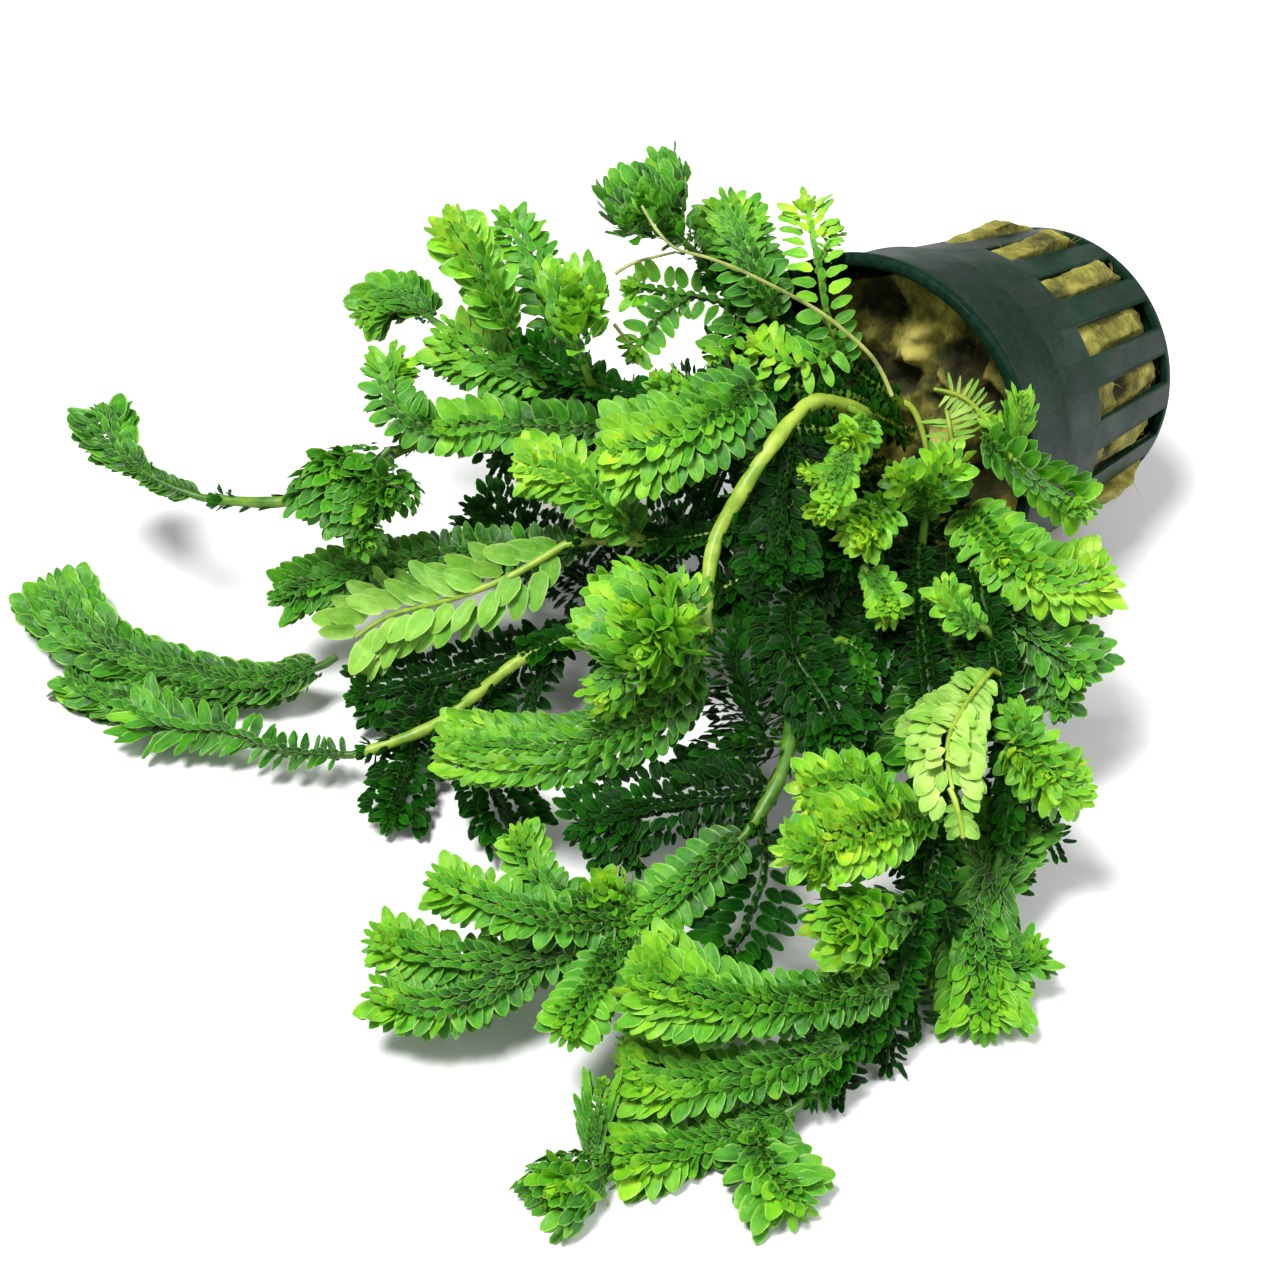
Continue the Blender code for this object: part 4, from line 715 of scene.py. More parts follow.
class Pattern:
    """One leaf modelled once, as plain numbers that every copy is worked out from."""

    def __init__(self, outline, columns):
        blade = self.model(outline, columns)
        self.across, self.along, self.drop = points_of(blade.data).T
        widths = np.interp(self.along, *zip(*outline)).clip(1e-6)
        at_end = (self.along < 0.01) | (self.along > 0.99)
        self.rim = np.where(at_end, 1, np.abs(self.across) / widths)
        self.edge_share = np.where(at_end, 0, np.clip(self.across / widths, -1, 1))
        self.faces = faces_of(blade.data)
        bpy.data.objects.remove(blade)

    def model(self, outline, columns):
        """Two grids shaped to the outline, the lower one bellied, and closed along the rim."""
        upper = self.grid(outline, columns, 0)
        lower = self.grid(outline, 2, 1)
        select_only(upper, lower)
        bpy.ops.object.join()
        weld(0.0005)
        return upper

    def grid(self, outline, columns, belly):
        """A grid drawn in to the outline, with its middle let down."""
        rows = len(outline) - 1
        select_only()
        bpy.ops.mesh.primitive_grid_add(x_subdivisions=columns, y_subdivisions=rows, size=2)
        sheet = bpy.context.object
        for vertex in sheet.data.vertices:
            along, width = outline[round((vertex.co.y + 1) / 2 * rows)]
            x = vertex.co.x
            vertex.co = (x * width, along, -belly * (1 - x * x) * min(width, 1))
        return sheet


class Foliage:
    """Gathers the leaves and stems of one piece and makes one mesh of them."""

    def __init__(self, seed):
        self.random = np.random.default_rng(seed)
        self.places = []
        self.corners = []
        self.sizes = []
        self.marks = {"age": [], "tint": [], "rim": []}
        self.spread = []
        self.finish = []
        self.count = 0

    def add(self, places, faces, copies, finish, age, tint, rim, spread):
        """Adds copies of one form: its places, faces, and marks for the finish."""
        size = len(places) // copies
        lengths = np.array([len(face) for face in faces])
        corners = np.concatenate([np.array(face) for face in faces])
        shift = self.count + np.arange(copies)[:, None] * size
        self.places.append(places)
        self.corners.append((corners[None] + shift).ravel())
        self.sizes.append(np.tile(lengths, copies))
        self.marks["age"].append(age)
        self.marks["tint"].append(tint)
        self.marks["rim"].append(rim)
        self.spread.append(np.tile(spread[corners], (copies, 1)))
        self.finish.append(np.full(len(faces) * copies, finish))
        self.count += len(places)

    def leaves(self, pattern, foot, along, normal, length, width, curl, cup, age):
        """Copies of a leaf: where each stands, its way, its upper side, sizes and bends."""
        copies = len(foot)
        if copies == 0:
            return
        roll = self.random.normal(0, LEAF_ROLL, (copies, 1))
        yaw = self.random.normal(0, LEAF_YAW, (copies, 1))
        leaning = unit(np.cross(unit(along), normal))
        along = unit(unit(along) + leaning * yaw)
        side = unit(np.cross(along, normal + leaning * roll))
        normal = np.cross(side, along)
        bend = np.where(np.abs(curl) < LEAST_CURL, LEAST_CURL, curl)[:, None]
        turned = bend * pattern.along
        reach = length[:, None] * np.sin(turned) / bend
        rise = length[:, None] * (1 - np.cos(turned)) / bend
        across = pattern.across * width[:, None] / 2
        wave = np.sin(pattern.along * RIM_WAVES + self.random.uniform(0, math.tau, (copies, 1)))
        wave = wave * np.sign(pattern.across) * pattern.across ** 2 * length[:, None] * RUFFLE
        lift = cup[:, None] * pattern.across ** 2 * width[:, None] / 2 + wave
        lift = lift + pattern.drop * BLADE_THICKNESS
        upward = tilted(normal[:, None], -along[:, None], turned)
        places = foot[:, None] + along[:, None] * reach[..., None] + normal[:, None] * rise[..., None]
        places = places + side[:, None] * across[..., None] + upward * lift[..., None]
        lowest = TABLE_GAP + BLADE_THICKNESS * (1 + pattern.drop)
        places[..., 2] = np.maximum(places[..., 2], lowest)
        tint = self.random.random(copies)
        spread = np.stack([(pattern.edge_share + 1) / 2, pattern.along], axis=1)
        # Young leaves yellow inside; older leaves darker at the foot, painted shade where the leaves
        # overlap
        fade = np.interp(age, *LEAF_FADES)
        ages = age[:, None] + fade[:, None] * (pattern.along - FADE_CENTRE)
        self.add(places.reshape(-1, 3), pattern.faces, copies, FIRST, ages.ravel(),
                 np.repeat(tint, len(pattern.along)), np.tile(pattern.rim, copies), spread)

    def tube(self, places, radii, sides, age, finish=SECOND):
        """A round stem along points, closed at both ends."""
        mesh = stem_mesh(places, radii, sides)
        points = points_of(mesh)
        points[:, 2] = np.maximum(points[:, 2], TABLE_GAP)
        faces = faces_of(mesh)
        bpy.data.meshes.remove(mesh)
        even = np.full(len(points), 0.5)
        spread = np.stack([even, np.linspace(0, 1, len(points))], axis=1)
        self.add(points, faces, 1, finish, even * 2 * age, even, even * 0, spread)

    def made(self, name, *finishes):
        """One object from all that was gathered."""
        mesh = bpy.data.meshes.new(name)
        places = np.concatenate(self.places)
        corners = np.concatenate(self.corners)
        sizes = np.concatenate(self.sizes)
        mesh.vertices.add(len(places))
        mesh.vertices.foreach_set("co", places.astype(np.float32).ravel())
        mesh.loops.add(len(corners))
        mesh.loops.foreach_set("vertex_index", corners.astype(np.int32))
        mesh.polygons.add(len(sizes))
        starts = np.concatenate([[0], np.cumsum(sizes)[:-1]])
        mesh.polygons.foreach_set("loop_start", starts.astype(np.int32))
        mesh.polygons.foreach_set("material_index", np.concatenate(self.finish).astype(np.int32))
        mesh.update(calc_edges=True)
        for mark, values in self.marks.items():
            layer = mesh.attributes.new(mark, "FLOAT", "POINT")
            layer.data.foreach_set("value", np.concatenate(values).astype(np.float32))
        layer = mesh.uv_layers.new(name="blade")
        layer.data.foreach_set("uv", np.concatenate(self.spread).astype(np.float32).ravel())
        for finish in finishes:
            mesh.materials.append(FINISHES[finish])
        mesh.shade_smooth()
        mesh.set_sharp_from_angle(angle=SHARP_EDGE)
        return added(name, mesh)


def stem_mesh(places, radii, sides):
    """A mesh tube, made from a curve with a bevel and filled caps."""
    curve = bpy.data.curves.new("stem", "CURVE")
    curve.dimensions = "3D"
    curve.bevel_depth = 1
    curve.bevel_resolution = max(sides // 2 - 2, 0)
    curve.use_fill_caps = True
    spline = curve.splines.new("POLY")
    spline.points.add(len(places) - 1)
    for point, place, radius in zip(spline.points, places, radii):
        point.co = (*place, 1)
        point.radius = radius
    holder = added("stem", curve)
    mesh = bpy.data.meshes.new_from_object(holder)
    bpy.data.objects.remove(holder)
    bpy.data.curves.remove(curve)
    return mesh


# Shoots

def stations(line, pitch, longest, first, last):
    """Distances along a line for one row of leaves, closer together towards the tip."""
    distances = []
    distance = first
    while distance < last:
        distances.append(distance)
        half = min(np.interp(distance, line.along, line.half_width), longest)
        crowding = blend(1, TIP_CROWDING, (distance / line.length) ** 2)
        distance += max(half * pitch * crowding, LEAST_PITCH)
    return np.array(distances)


def side_rows(foliage, line, style, tones, layer):
    """Rows of broad leaves along both edges, and more of them inwards where a shoot is broad."""
    longest = LEAF_LENGTH * style["size"] * layer[1]
    tiers = 1 + max(math.ceil((line.half_width.max() - longest) / TIER_STEP), 0)
    for tier in range(tiers):
        for hand in (-1, 1):
            side_row(foliage, line, style, tones, layer, longest, hand, tier)


def side_row(foliage, line, style, tones, layer, longest, hand, tier):
    """One row of broad leaves, its tips a few steps in from the shoot's edge."""
    random = foliage.random
    loose = style["loose"]
    lift, _, delay, darker = layer
    first = line.length * (ROW_START + delay) + HAND_STARTS[hand]
    last = max(line.length - 0.75 * longest, 0.6 * line.length)
    distances = stations(line, style["pitch"], longest, first, last)
    room = np.interp(distances, line.along, line.half_width) - tier * TIER_STEP
    distances = distances[room > (0.6 * longest if tier else 0)]
    count = len(distances)
    here = line.at(distances)
    drawn_in = here.share ** ANGLE_POWER
    angle = np.radians(blend(style["wide"], style["narrow"], drawn_in) * TIER_TURN ** tier
                       + random.normal(0, ANGLE_SPREAD * loose, count))
    angle = np.maximum(angle, SMALLEST_ANGLE)
    outward = here.side * hand
    tip = np.clip((here.share - TIP_SHARE) / (1 - TIP_SHARE), 0, 1)
    rise = np.radians(lift + TIER_LIFT * tier + TIP_LIFT * tip
                      + random.normal(0, ANGLE_SPREAD * loose, count))
    along = tilted(tilted(here.way, outward, angle), here.face, rise)
    reach = np.maximum(here.half_width, LEAST_REACH) - tier * TIER_STEP
    length = np.minimum(reach / np.sin(angle), longest)
    inset = np.maximum(reach - length * np.sin(angle), 0)
    length = length * random.uniform(1 - 0.14 * loose, 1.08, count)
    width = length * style["blade"] * random.uniform(*BROAD_WIDTHS, count)
    normal = here.face * math.cos(SHINGLE) + here.way * math.sin(SHINGLE)
    # An under layer is made darker: painted shade under the upper leaves
    age = blend(*tones, here.share ** AGE_POWER) - darker + TIER_YOUTH * tier
    raised = lift / 60 * here.half_depth + tier * TIER_RISE
    foot = here.place + outward * inset[:, None] + here.face * raised[:, None]
    pattern = SMALL if darker or style is STYLES["tangle"] else BROAD
    foliage.leaves(pattern, foot, along, normal, length, width,
                   random.normal(*BROAD_CURL, count) + TIP_CURL * tip,
                   random.uniform(*BROAD_HOLLOW, count), age + random.normal(0, AGE_SPREAD, count))


def middle_rows(foliage, line, style, tones, facing):
    """The small leaves that lie forward along a shoot's middle, like a braid."""
    random = foliage.random
    rows = style["rows"]
    longest = LEAF_LENGTH * style["size"]
    for row in range(rows):
        offset = (row - (rows - 1) / 2) * MIDDLE_STEP
        first = line.length * ROW_START + (row % 2) * MIDDLE_STAGGER
        distances = stations(line, style["pitch"] * MIDDLE_PITCH, longest, first,
                             line.length - 0.3 * longest)
        count = len(distances)
        here = line.at(distances)
        full = np.clip(here.half_width, MIDDLE_LEAST, longest)
        face = here.face * facing
        swing = np.radians(offset * MIDDLE_FAN + random.normal(0, 9, count))
        rise = np.radians(random.uniform(*MIDDLE_RISE, count))
        along = tilted(tilted(here.way, here.side, swing), face, rise)
        length = full * random.uniform(*MIDDLE_LENGTHS, count)
        width = length * random.uniform(*MIDDLE_WIDTHS, count)
        foot = here.place + face * (0.75 * here.half_depth)[:, None]
        foot = foot + here.side * (offset * 0.7 * full)[:, None]
        age = blend(*tones, here.share ** SMALL_AGE_POWER) * blend(*MIDDLE_FADE, here.share ** 2)
        foliage.leaves(SMALL, foot, along, face, length, width,
                       random.normal(0.1, 0.2, count), random.uniform(0.2, 0.6, count),
                       age + random.normal(0, SMALL_AGE_SPREAD, count))


def scaled_body(foliage, line, style, tones):
    """Ranks of leaves all round a thick shoot."""
    random = foliage.random
    for degrees in BODY_RANKS:
        around = math.radians(degrees)
        first = line.length * 0.03 + random.uniform(0, 1.2) * MM
        distances = stations(line, style["pitch"], LEAF_LENGTH, first,
                             line.length - 0.5 * LEAF_LENGTH)
        count = len(distances)
        here = line.at(distances)
        out = here.side * math.cos(around) + here.face * math.sin(around)
        spread = np.radians(blend(*BODY_SPREAD, here.share) + random.normal(0, ANGLE_SPREAD, count))
        foot = here.place + here.side * (math.cos(around) * 0.45 * here.half_width)[:, None]
        foot = foot + here.face * (math.sin(around) * 0.6 * here.half_depth)[:, None]
        full = np.clip(here.half_width, 1.8 * MM, LEAF_LENGTH)
        length = full * random.uniform(*BODY_LENGTHS, count)
        width = length * random.uniform(*BODY_WIDTHS, count)
        age = blend(*tones, here.share ** SMALL_AGE_POWER) + random.normal(0, SMALL_AGE_SPREAD, count)
        foliage.leaves(SMALL, foot, tilted(here.way, out, spread), tilted(out, -here.way, spread),
                       length, width, random.normal(0.1, 0.15, count),
                       random.uniform(*SMALL_HOLLOW, count), age)


def rosette(foliage, centre, axis, radius, tones, count):
    """A whorled tip: leaves round an axis, the inner ones upright, curled and young."""
    random = foliage.random
    share = (np.arange(count) + 0.5) / count
    turn = np.arange(count) * GOLDEN_TURN + random.uniform(0, math.tau)
    axis = unit(np.array(axis, float))
    helper = np.array((0, 0, 1)) if abs(axis[2]) < 0.9 else np.array((1, 0, 0))
    first = unit(np.cross(axis, helper))
    second = np.cross(axis, first) * random.uniform(0.72, 0.95)
    out = tilted(first, second, turn)
    tilt = np.radians(blend(*ROSETTE_OPENING, share ** 0.8) + random.normal(0, 8, count))
    length = radius * blend(0.5, 0.98, share) * random.uniform(0.8, 1.15, count)
    width = length * blend(0.82, 0.58, share)
    foot = centre + out * (radius * 0.44 * share)[:, None]
    foot = foot - axis * (radius * 0.8 * share ** 1.4)[:, None]
    age = blend(min(tones[1] + ROSETTE_YOUTH, 1), tones[1] - ROSETTE_YOUTH, share ** 0.8)
    age = age + random.normal(0, AGE_SPREAD, count)
    foliage.leaves(SMALL, foot, tilted(axis, out, tilt), tilted(-out, axis, tilt), length, width,
                   blend(0.5, -0.3, share) + random.normal(0, 0.2, count),
                   blend(0.7, 0.25, share), age)


def tip_rosette(foliage, line, radius, back, tilt, tones, count):
    """A rosette that closes a shoot's tip, some way back from it and tilted to its upper side."""
    here = line.at([line.length - back])
    rosette(foliage, here.place[0], here.way[0] + here.face[0] * tilt, radius, tones, count)


def club_cover(foliage, line, tones):
    """Overlapping leaves all over a round head, and a rosette at its end."""
    random = foliage.random
    around = math.pi * (line.half_width + line.half_depth)
    covered = np.concatenate([[0], np.cumsum(around[:-1] * np.diff(line.along))])
    count = int(covered[-1] / CLUB_SPACING ** 2 / CLUB_CROWDING)
    wanted = (np.arange(count) + 0.5) / count * covered[-1]
    here = line.at(np.interp(wanted, covered, line.along) * 0.88)
    turn = np.arange(count) * GOLDEN_TURN
    wide = here.half_width[:, None]
    deep = here.half_depth[:, None]
    out = tilted(here.side * wide, here.face * deep, turn)
    outward = unit(tilted(here.side * deep, here.face * wide, turn))
    spread = np.radians(blend(*CLUB_SPREAD, here.share) + random.normal(0, 7, count))
    length = np.clip(here.half_width * 0.56, *CLUB_LENGTHS) * random.uniform(0.75, 1.15, count)
    width = length * random.uniform(*CLUB_WIDTHS, count)
    age = blend(*tones, here.share) + random.normal(0, 0.09, count)
    foliage.leaves(SMALL, here.place + out * 0.66, tilted(here.way, outward, spread),
                   tilted(-outward, here.way, spread), length, width,
                   random.uniform(-0.3, 0.4, count), random.uniform(*SMALL_HOLLOW, count), age)
    radius = line.half_width.max() * 0.6
    tip_rosette(foliage, line, radius, radius, 0.4, tones, CLUB_LEAVES)


def leafy_branch(foliage, line, style, tones, thick):
    """A flat braided shoot: broad leaves at both edges, small ones along the middle."""
    side_rows(foliage, line, style, tones, UPPER_LAYER)
    if style["under"]:
        side_rows(foliage, line, style, tones, UNDER_LAYER)
    for facing in (1, -1):
        middle_rows(foliage, line, style, tones, facing)
    if thick > THICK_SHOOT:
        scaled_body(foliage, line, style, tones)
    if style["rows"]:
        half = np.interp(line.length * 0.85, line.along, line.half_width)
        radius = min(half, HEAD_RADIUS) * 0.8
        tip_rosette(foliage, line, radius, 0.8 * radius, 0.3, tones, HEAD_LEAVES)


def twig(foliage, line, joint, tone_name, age):
    """The thin stem inside a shoot, from where it joins; a pale shoot shows it as a rib."""
    places = line.place[:int(len(line.place) * 0.9) + 1:3]
    if (joint - Vector(places[0])).length < WIDEST_GAP:
        places = np.vstack([np.array(joint), places])
    if tone_name.startswith("pale"):
        places = places + line.face[0] * RIB_RISE
        age = PALE_TWIG_AGE
    ends = PALEST_TWIG_RADIUS if tone_name == "palest" else TWIG_RADIUS
    foliage.tube(places, np.linspace(*ends, len(places)) * MM, TWIG_SIDES, age)


def fork_joint(main, point):
    """The place on a main line where a fork leaves it, from the fork's first picture point."""
    depth = (Vector(main.place[len(main.place) // 2]) - EYE).length
    start = EYE + sight_line(*point) * depth
    return Vector(main.place[main.gap(np.array(start))[0]])


def shoot(seed, name, host, tone_name, lean, *branches):
    """One node's shoot with its forks: stems, leaves and rosettes in one mesh."""
    node = "shoot_" + name
    solid = solid_of(node)
    usual_tones, finish, slot = TONES[tone_name]
    usual_style = SHOOT_STYLES.get(name, "tangle" if tone_name == "shade" else "braid")
    foliage = Foliage(seed)
    lines = []
    for route, width, thick, *more in branches:
        form = more[0] if more else "leafy"
        tones = TONES[more[1]][0] if len(more) > 1 else usual_tones
        if lines:
            joint = fork_joint(lines[0], route[0])
            places = follow(solid, route, (joint - EYE).length)
        else:
            places = follow(solid, route)
            joint = solid_of(host).find_nearest(Vector(places[0]))[0]
        if form in ROUND_FORMS:
            outline = FORMS[form]
        else:
            outline = LEAFY_FORMS[form if lines else SHOOT_FORMS.get(name, form)]
        line = Line(places, width, thick, outline, lean, SHOOT_TURNS.get(name, 0))
        lines.append(line)
        twig(foliage, line, joint, tone_name, tones[0])
        if form in ROUND_FORMS:
            club_cover(foliage, line, tones)
        else:
            style = form if form in ("comb", "bundle") else usual_style
            leafy_branch(foliage, line, STYLES[style], tones, thick)
    for across, down, radius in ROSETTES.get(name, ()):
        seen_rosette(foliage, solid, lines, (across, down), radius * MM, usual_tones)
    piece = foliage.made(name + "_leaves", finish, "stem")
    keep(piece, name + "_leaves", slot, node)


def seen_rosette(foliage, solid, lines, place, radius, tones):
    """A leafy bud on the solid where it shows in the picture, leaning along its shoot."""
    sight = sight_line(*place)
    hit = solid.ray_cast(EYE, sight)[0]
    if hit is None:
        depth = (Vector(lines[0].place[-1]) - EYE).length
        hit = solid.find_nearest(EYE + sight * depth)[0]
    centre = np.array(hit)
    owner = min(lines, key=lambda line: line.gap(centre)[1])
    way = owner.way[owner.gap(centre)[0]]
    axis = unit(way * 0.7 - np.array(sight) * 0.5 + np.array((0, 0, 0.2))
                + foliage.random.normal(0, 0.16, 3))
    rosette(foliage, centre - axis * radius * 0.3, axis, radius * 1.1, tones, HEAD_LEAVES)


# Stems

def main_stem(name, route, thick, seed):
    """A stem with its leafy stretch, small pressed scales, shaded sprigs and a leafy end."""
    foliage = Foliage(seed)
    start, end, half, tones, age = STEM_LEAVES[name]
    places = follow(solid_of(name), route)
    count = len(places)
    swell = 1 + 0.08 * np.sin(np.linspace(0, count * 0.35, count))
    radii = np.linspace(0.56, 0.44, count) * thick * MM * swell
    last = places[-1] + unit(places[-1] - places[-3]) * STEM_REACH
    foliage.tube(np.vstack([places[:-1:2], last]), np.append(radii[:-1:2], 0.2 * MM), STEM_SIDES,
                 age)
    line = Line(places, thick, thick, FORMS["stem"])
    sprigs(foliage, line, end)
    rosette(foliage, places[-1], line.way[-1], STEM_END_RADIUS, tones, STEM_END_LEAVES)
    leafy = places[int(start * count):int(end * count)]
    cover = Line(leafy, 2 * half, thick * 1.6, LEAFY_FORMS["comb"])
    side_rows(foliage, cover, STYLES["tangle"], tones, STEM_UPPER_LAYER)
    side_rows(foliage, cover, STYLES["tangle"], tones, STEM_UNDER_LAYER)
    middle_rows(foliage, cover, STYLES["tangle"], tones, 1)
    for hand in (-1, 1):
        stem_scales(foliage, line, thick, hand)
    # The stem's leaves, scales and sprigs wear the dark shade finish: painted shade
    piece = foliage.made(name + "_grown", "shade leaf", "stem")
    keep(piece, name + "_grown", "stem", name)


def stem_scales(foliage, line, thick, hand):
    """One row of small leaves pressed to a stem."""
    random = foliage.random
    distances = np.arange(2 * MM + (1.7 * MM if hand > 0 else 0), line.length, SCALE_SPACING)
    count = len(distances)
    here = line.at(distances + random.normal(0, 0.4, count) * MM)
    swing = np.radians(random.uniform(14, 34, count))
    out = unit(here.side * hand + here.face * random.uniform(-0.5, 0.9, count)[:, None])
    length = random.uniform(*SCALE_LENGTHS, count) * MM
    foliage.leaves(SMALL, here.place + out * thick * 0.36 * MM, tilted(here.way, out, swing),
                   tilted(out, -here.way, swing), length, length * 0.5,
                   random.normal(-0.1, 0.2, count), np.full(count, -0.4),
                   random.uniform(0.3, 0.5, count))


def sprigs(foliage, stem, end):
    """Short shaded side shoots that hang under and behind a stem, up to a share of its length."""
    random = foliage.random
    distance = SPRIG_START
    while distance < end * stem.length - SPRIG_END:
        here = stem.at([distance])
        distance += random.uniform(0.6, 1.4) * SPRIG_SPACING
        sideways = here.side[0] * random.uniform(-1, 1)
        away = -here.face[0] * random.uniform(0.1, 0.9)
        way = unit(here.way[0] * 0.7 + sideways * 0.7 + away)
        length = random.uniform(*SPRIG_LENGTHS) * MM
        share = np.linspace(0, 1, 24)[:, None]
        places = here.place[0] + way * length * share
        places = places + np.array((0, 0, -SPRIG_DROOP * length)) * share ** 2
        places[:, 2] = np.maximum(places[:, 2], 0.8 * MM)
        sprig = Line(places, random.uniform(*SPRIG_WIDTHS), 1.6, LEAFY_FORMS["leafy"])
        # The sprig's stem and leaves are dark: painted shade under and behind the stem
        foliage.tube(places[::4], np.linspace(0.4, 0.25, 6) * MM, TWIG_SIDES, 0.2)
        tones = (random.uniform(0.0, 0.14), random.uniform(0.15, 0.40))
        side_rows(foliage, sprig, STYLES["tangle"], tones, SPRIG_LAYER)
        middle_rows(foliage, sprig, STYLES["tangle"], tones, 1)


def strand(name, node, route, radii, finish):
    """A thin bare root or stem, at the depth of the node that it is or leaves."""
    foliage = Foliage(0)
    places = follow(solid_of(node), route)
    radii = np.linspace(*radii, len(places)) * MM
    foliage.tube(places[::2], radii[::2], ROOT_SIDES, STRAND_AGE, FIRST)
    piece = foliage.made(name + "_grown", finish)
    replaced = (node,) if node == name else ()
    keep(piece, name + "_grown", STRAND_SLOTS[finish], *replaced)


# Pot and wool

def pot_place():
    """The pot's own frame, from its flat base in the record: base at Z = 0, mouth up."""
    base = frame["record"]["mounts"][0]
    upright = (-Vector(base["axis"])).to_track_quat("Z", "Y").to_matrix().to_4x4()
    return Matrix.Translation(Vector(base["pos_m"])) @ upright


def wall_radius(height):
    """The pot's outer radius below the collar, at a height above its base."""
    below_collar = POT_HEIGHT - POT_COLLAR_HEIGHT
    share = min(max(height / below_collar, 0), 1)
    return POT_BASE_RADIUS + (POT_COLLAR_RADIUS - POT_STEP - POT_BASE_RADIUS) * share


def pot_profile():
    """Radius and height round the pot's wall: up the outside, over the lip and down inside."""
    below_collar = POT_HEIGHT - POT_COLLAR_HEIGHT
    return (
        (POT_BASE_RADIUS - POT_WALL, 0),
        (POT_BASE_RADIUS - 0.3 * POT_WALL, 0.3 * POT_WALL),
        (POT_BASE_RADIUS, POT_WALL),
        (wall_radius(below_collar), below_collar - POT_STEP),
        (POT_COLLAR_RADIUS, below_collar),
        (POT_RIM_RADIUS - POT_WALL, POT_HEIGHT - POT_LIP_HEIGHT),
        (POT_RIM_RADIUS - POT_WALL / 4, POT_HEIGHT - POT_LIP_HEIGHT),
        (POT_RIM_RADIUS, POT_HEIGHT - POT_LIP_HEIGHT * 0.7),
        (POT_RIM_RADIUS, POT_HEIGHT - POT_LIP_HEIGHT * 0.35),
        (POT_RIM_RADIUS - POT_WALL / 3, POT_HEIGHT - POT_WALL / 8),
        (POT_RIM_RADIUS - 0.8 * POT_WALL, POT_HEIGHT),
        (POT_RIM_RADIUS - 1.4 * POT_WALL, POT_HEIGHT - POT_WALL / 8),
        (POT_RIM_RADIUS - 1.9 * POT_WALL, POT_HEIGHT - POT_WALL / 2),
        (POT_COLLAR_RADIUS - POT_WALL, below_collar + POT_WALL),
        (wall_radius(below_collar) - POT_WALL, below_collar - POT_WALL),
        (POT_BASE_RADIUS - POT_WALL, 2 * POT_WALL),
        (POT_BASE_RADIUS - 2 * POT_WALL, POT_WALL),
    )


def net_pot():
    """The slotted pot: a disc drawn up ring by ring, cut by its slots and softly bevelled."""
    profile = pot_profile()
    cutter = slot_cutter()
    select_only()
    bpy.ops.mesh.primitive_circle_add(vertices=POT_SIDES, radius=profile[0][0], fill_type="NGON")
    pot = bpy.context.object
    bpy.ops.object.mode_set(mode="EDIT")
    bpy.ops.mesh.select_all(action="SELECT")
    for (radius, height), (next_radius, next_height) in zip(profile, profile[1:]):
        rise = next_height - height
        grow = next_radius / radius
        bpy.ops.mesh.extrude_region_move(TRANSFORM_OT_translate={"value": (0, 0, rise)})
        bpy.ops.transform.resize(value=(grow, grow, 1), center_override=(0, 0, next_height))
    bpy.ops.mesh.select_all(action="SELECT")
    bpy.ops.mesh.normals_make_consistent(inside=False)
    bpy.ops.object.mode_set(mode="OBJECT")
    cut = pot.modifiers.new("Slots", "BOOLEAN")
    cut.operation = "DIFFERENCE"
    cut.solver = "EXACT"
    cut.object = cutter
    edges = pot.modifiers.new("Edges", "BEVEL")
    edges.width = POT_EDGE
    edges.segments = 2
    edges.limit_method = "ANGLE"
    edges.angle_limit = math.radians(38)
    bpy.ops.object.modifier_apply(modifier="Slots")
    bpy.ops.object.modifier_apply(modifier="Edges")
    bpy.data.objects.remove(cutter)
    pot.data.transform(pot_place())
    pot.data.materials.clear()
    pot.data.materials.append(FINISHES["pot"])
    select_only(pot)
    bpy.ops.object.shade_smooth_by_angle(angle=math.radians(35))
    keep(pot, "net_pot_moulded", "pot_plastic", "net_pot")


def slot_cutter():
    """All slots in one cutter: a block drawn out to a wedge, copied round the pot."""
    outer = POT_RIM_RADIUS + 5 * MM
    slope = SLOT_WIDTH / POT_BASE_RADIUS
    blocks = []
    for index in range(SLOT_COUNT):
        select_only()
        bpy.ops.mesh.primitive_cube_add(size=1)
        block = bpy.context.object
        for corner in block.data.vertices:
            reach = outer if corner.co.x > 0 else SLOT_INNER_RADIUS
            height = SLOT_TOP if corner.co.z > 0 else SLOT_BOTTOM
            corner.co = (reach, math.copysign(slope * reach / 2, corner.co.y), height)
        block.data.transform(Matrix.Rotation(math.tau * index / SLOT_COUNT, 4, "Z"))
        blocks.append(block)
    select_only(*blocks)
    bpy.ops.object.join()
    return blocks[0]


def wool_relief(place):
    """How far the wool's skin stands out at a place in the pot's frame."""
    stretched = Vector((place.x, place.y, place.z * 0.45))
    lumps = noise.fractal(stretched / (5 * MM), 0.9, 2.1, 4)
    threads = noise.ridged_multi_fractal(stretched / (1.6 * MM), 0.9, 2.2, 4, 1, 2)
    return 0.55 * MM * lumps + 0.16 * MM * (threads - 1.6)


def torn_depth(here):
    """How far the wool's torn face is hollowed or folded up, at a place in the pot's frame."""
    edge = min(max((POT_BASE_RADIUS - math.hypot(here.x, here.y)) / (4 * MM), 0), 1)
    folds = noise.fractal(Vector((here.x, here.y, 0.01)) / (8 * MM), 0.8, 2.0, 4)
    torn = noise.ridged_multi_fractal(Vector((here.x, here.y * 0.6, 0.03)) / (6 * MM),
                                      0.9, 2.1, 4, 1, 2)
    return edge * (2.2 * MM * folds + 1.3 * MM * (torn - 1.7))


def fine_plug(back):
    """The wool's solid in the pot's frame, closed and remeshed fine."""
    plug = added("rockwool_plug", frame["nodes"]["rockwool"].data.copy())
    select_only(plug)
    weld(0.00001)
    plug.data.transform(back)
    fine = plug.modifiers.new("Fine", "REMESH")
    fine.mode = "VOXEL"
    fine.voxel_size = WOOL_GRAIN
    bpy.ops.object.modifier_apply(modifier="Fine")
    return plug


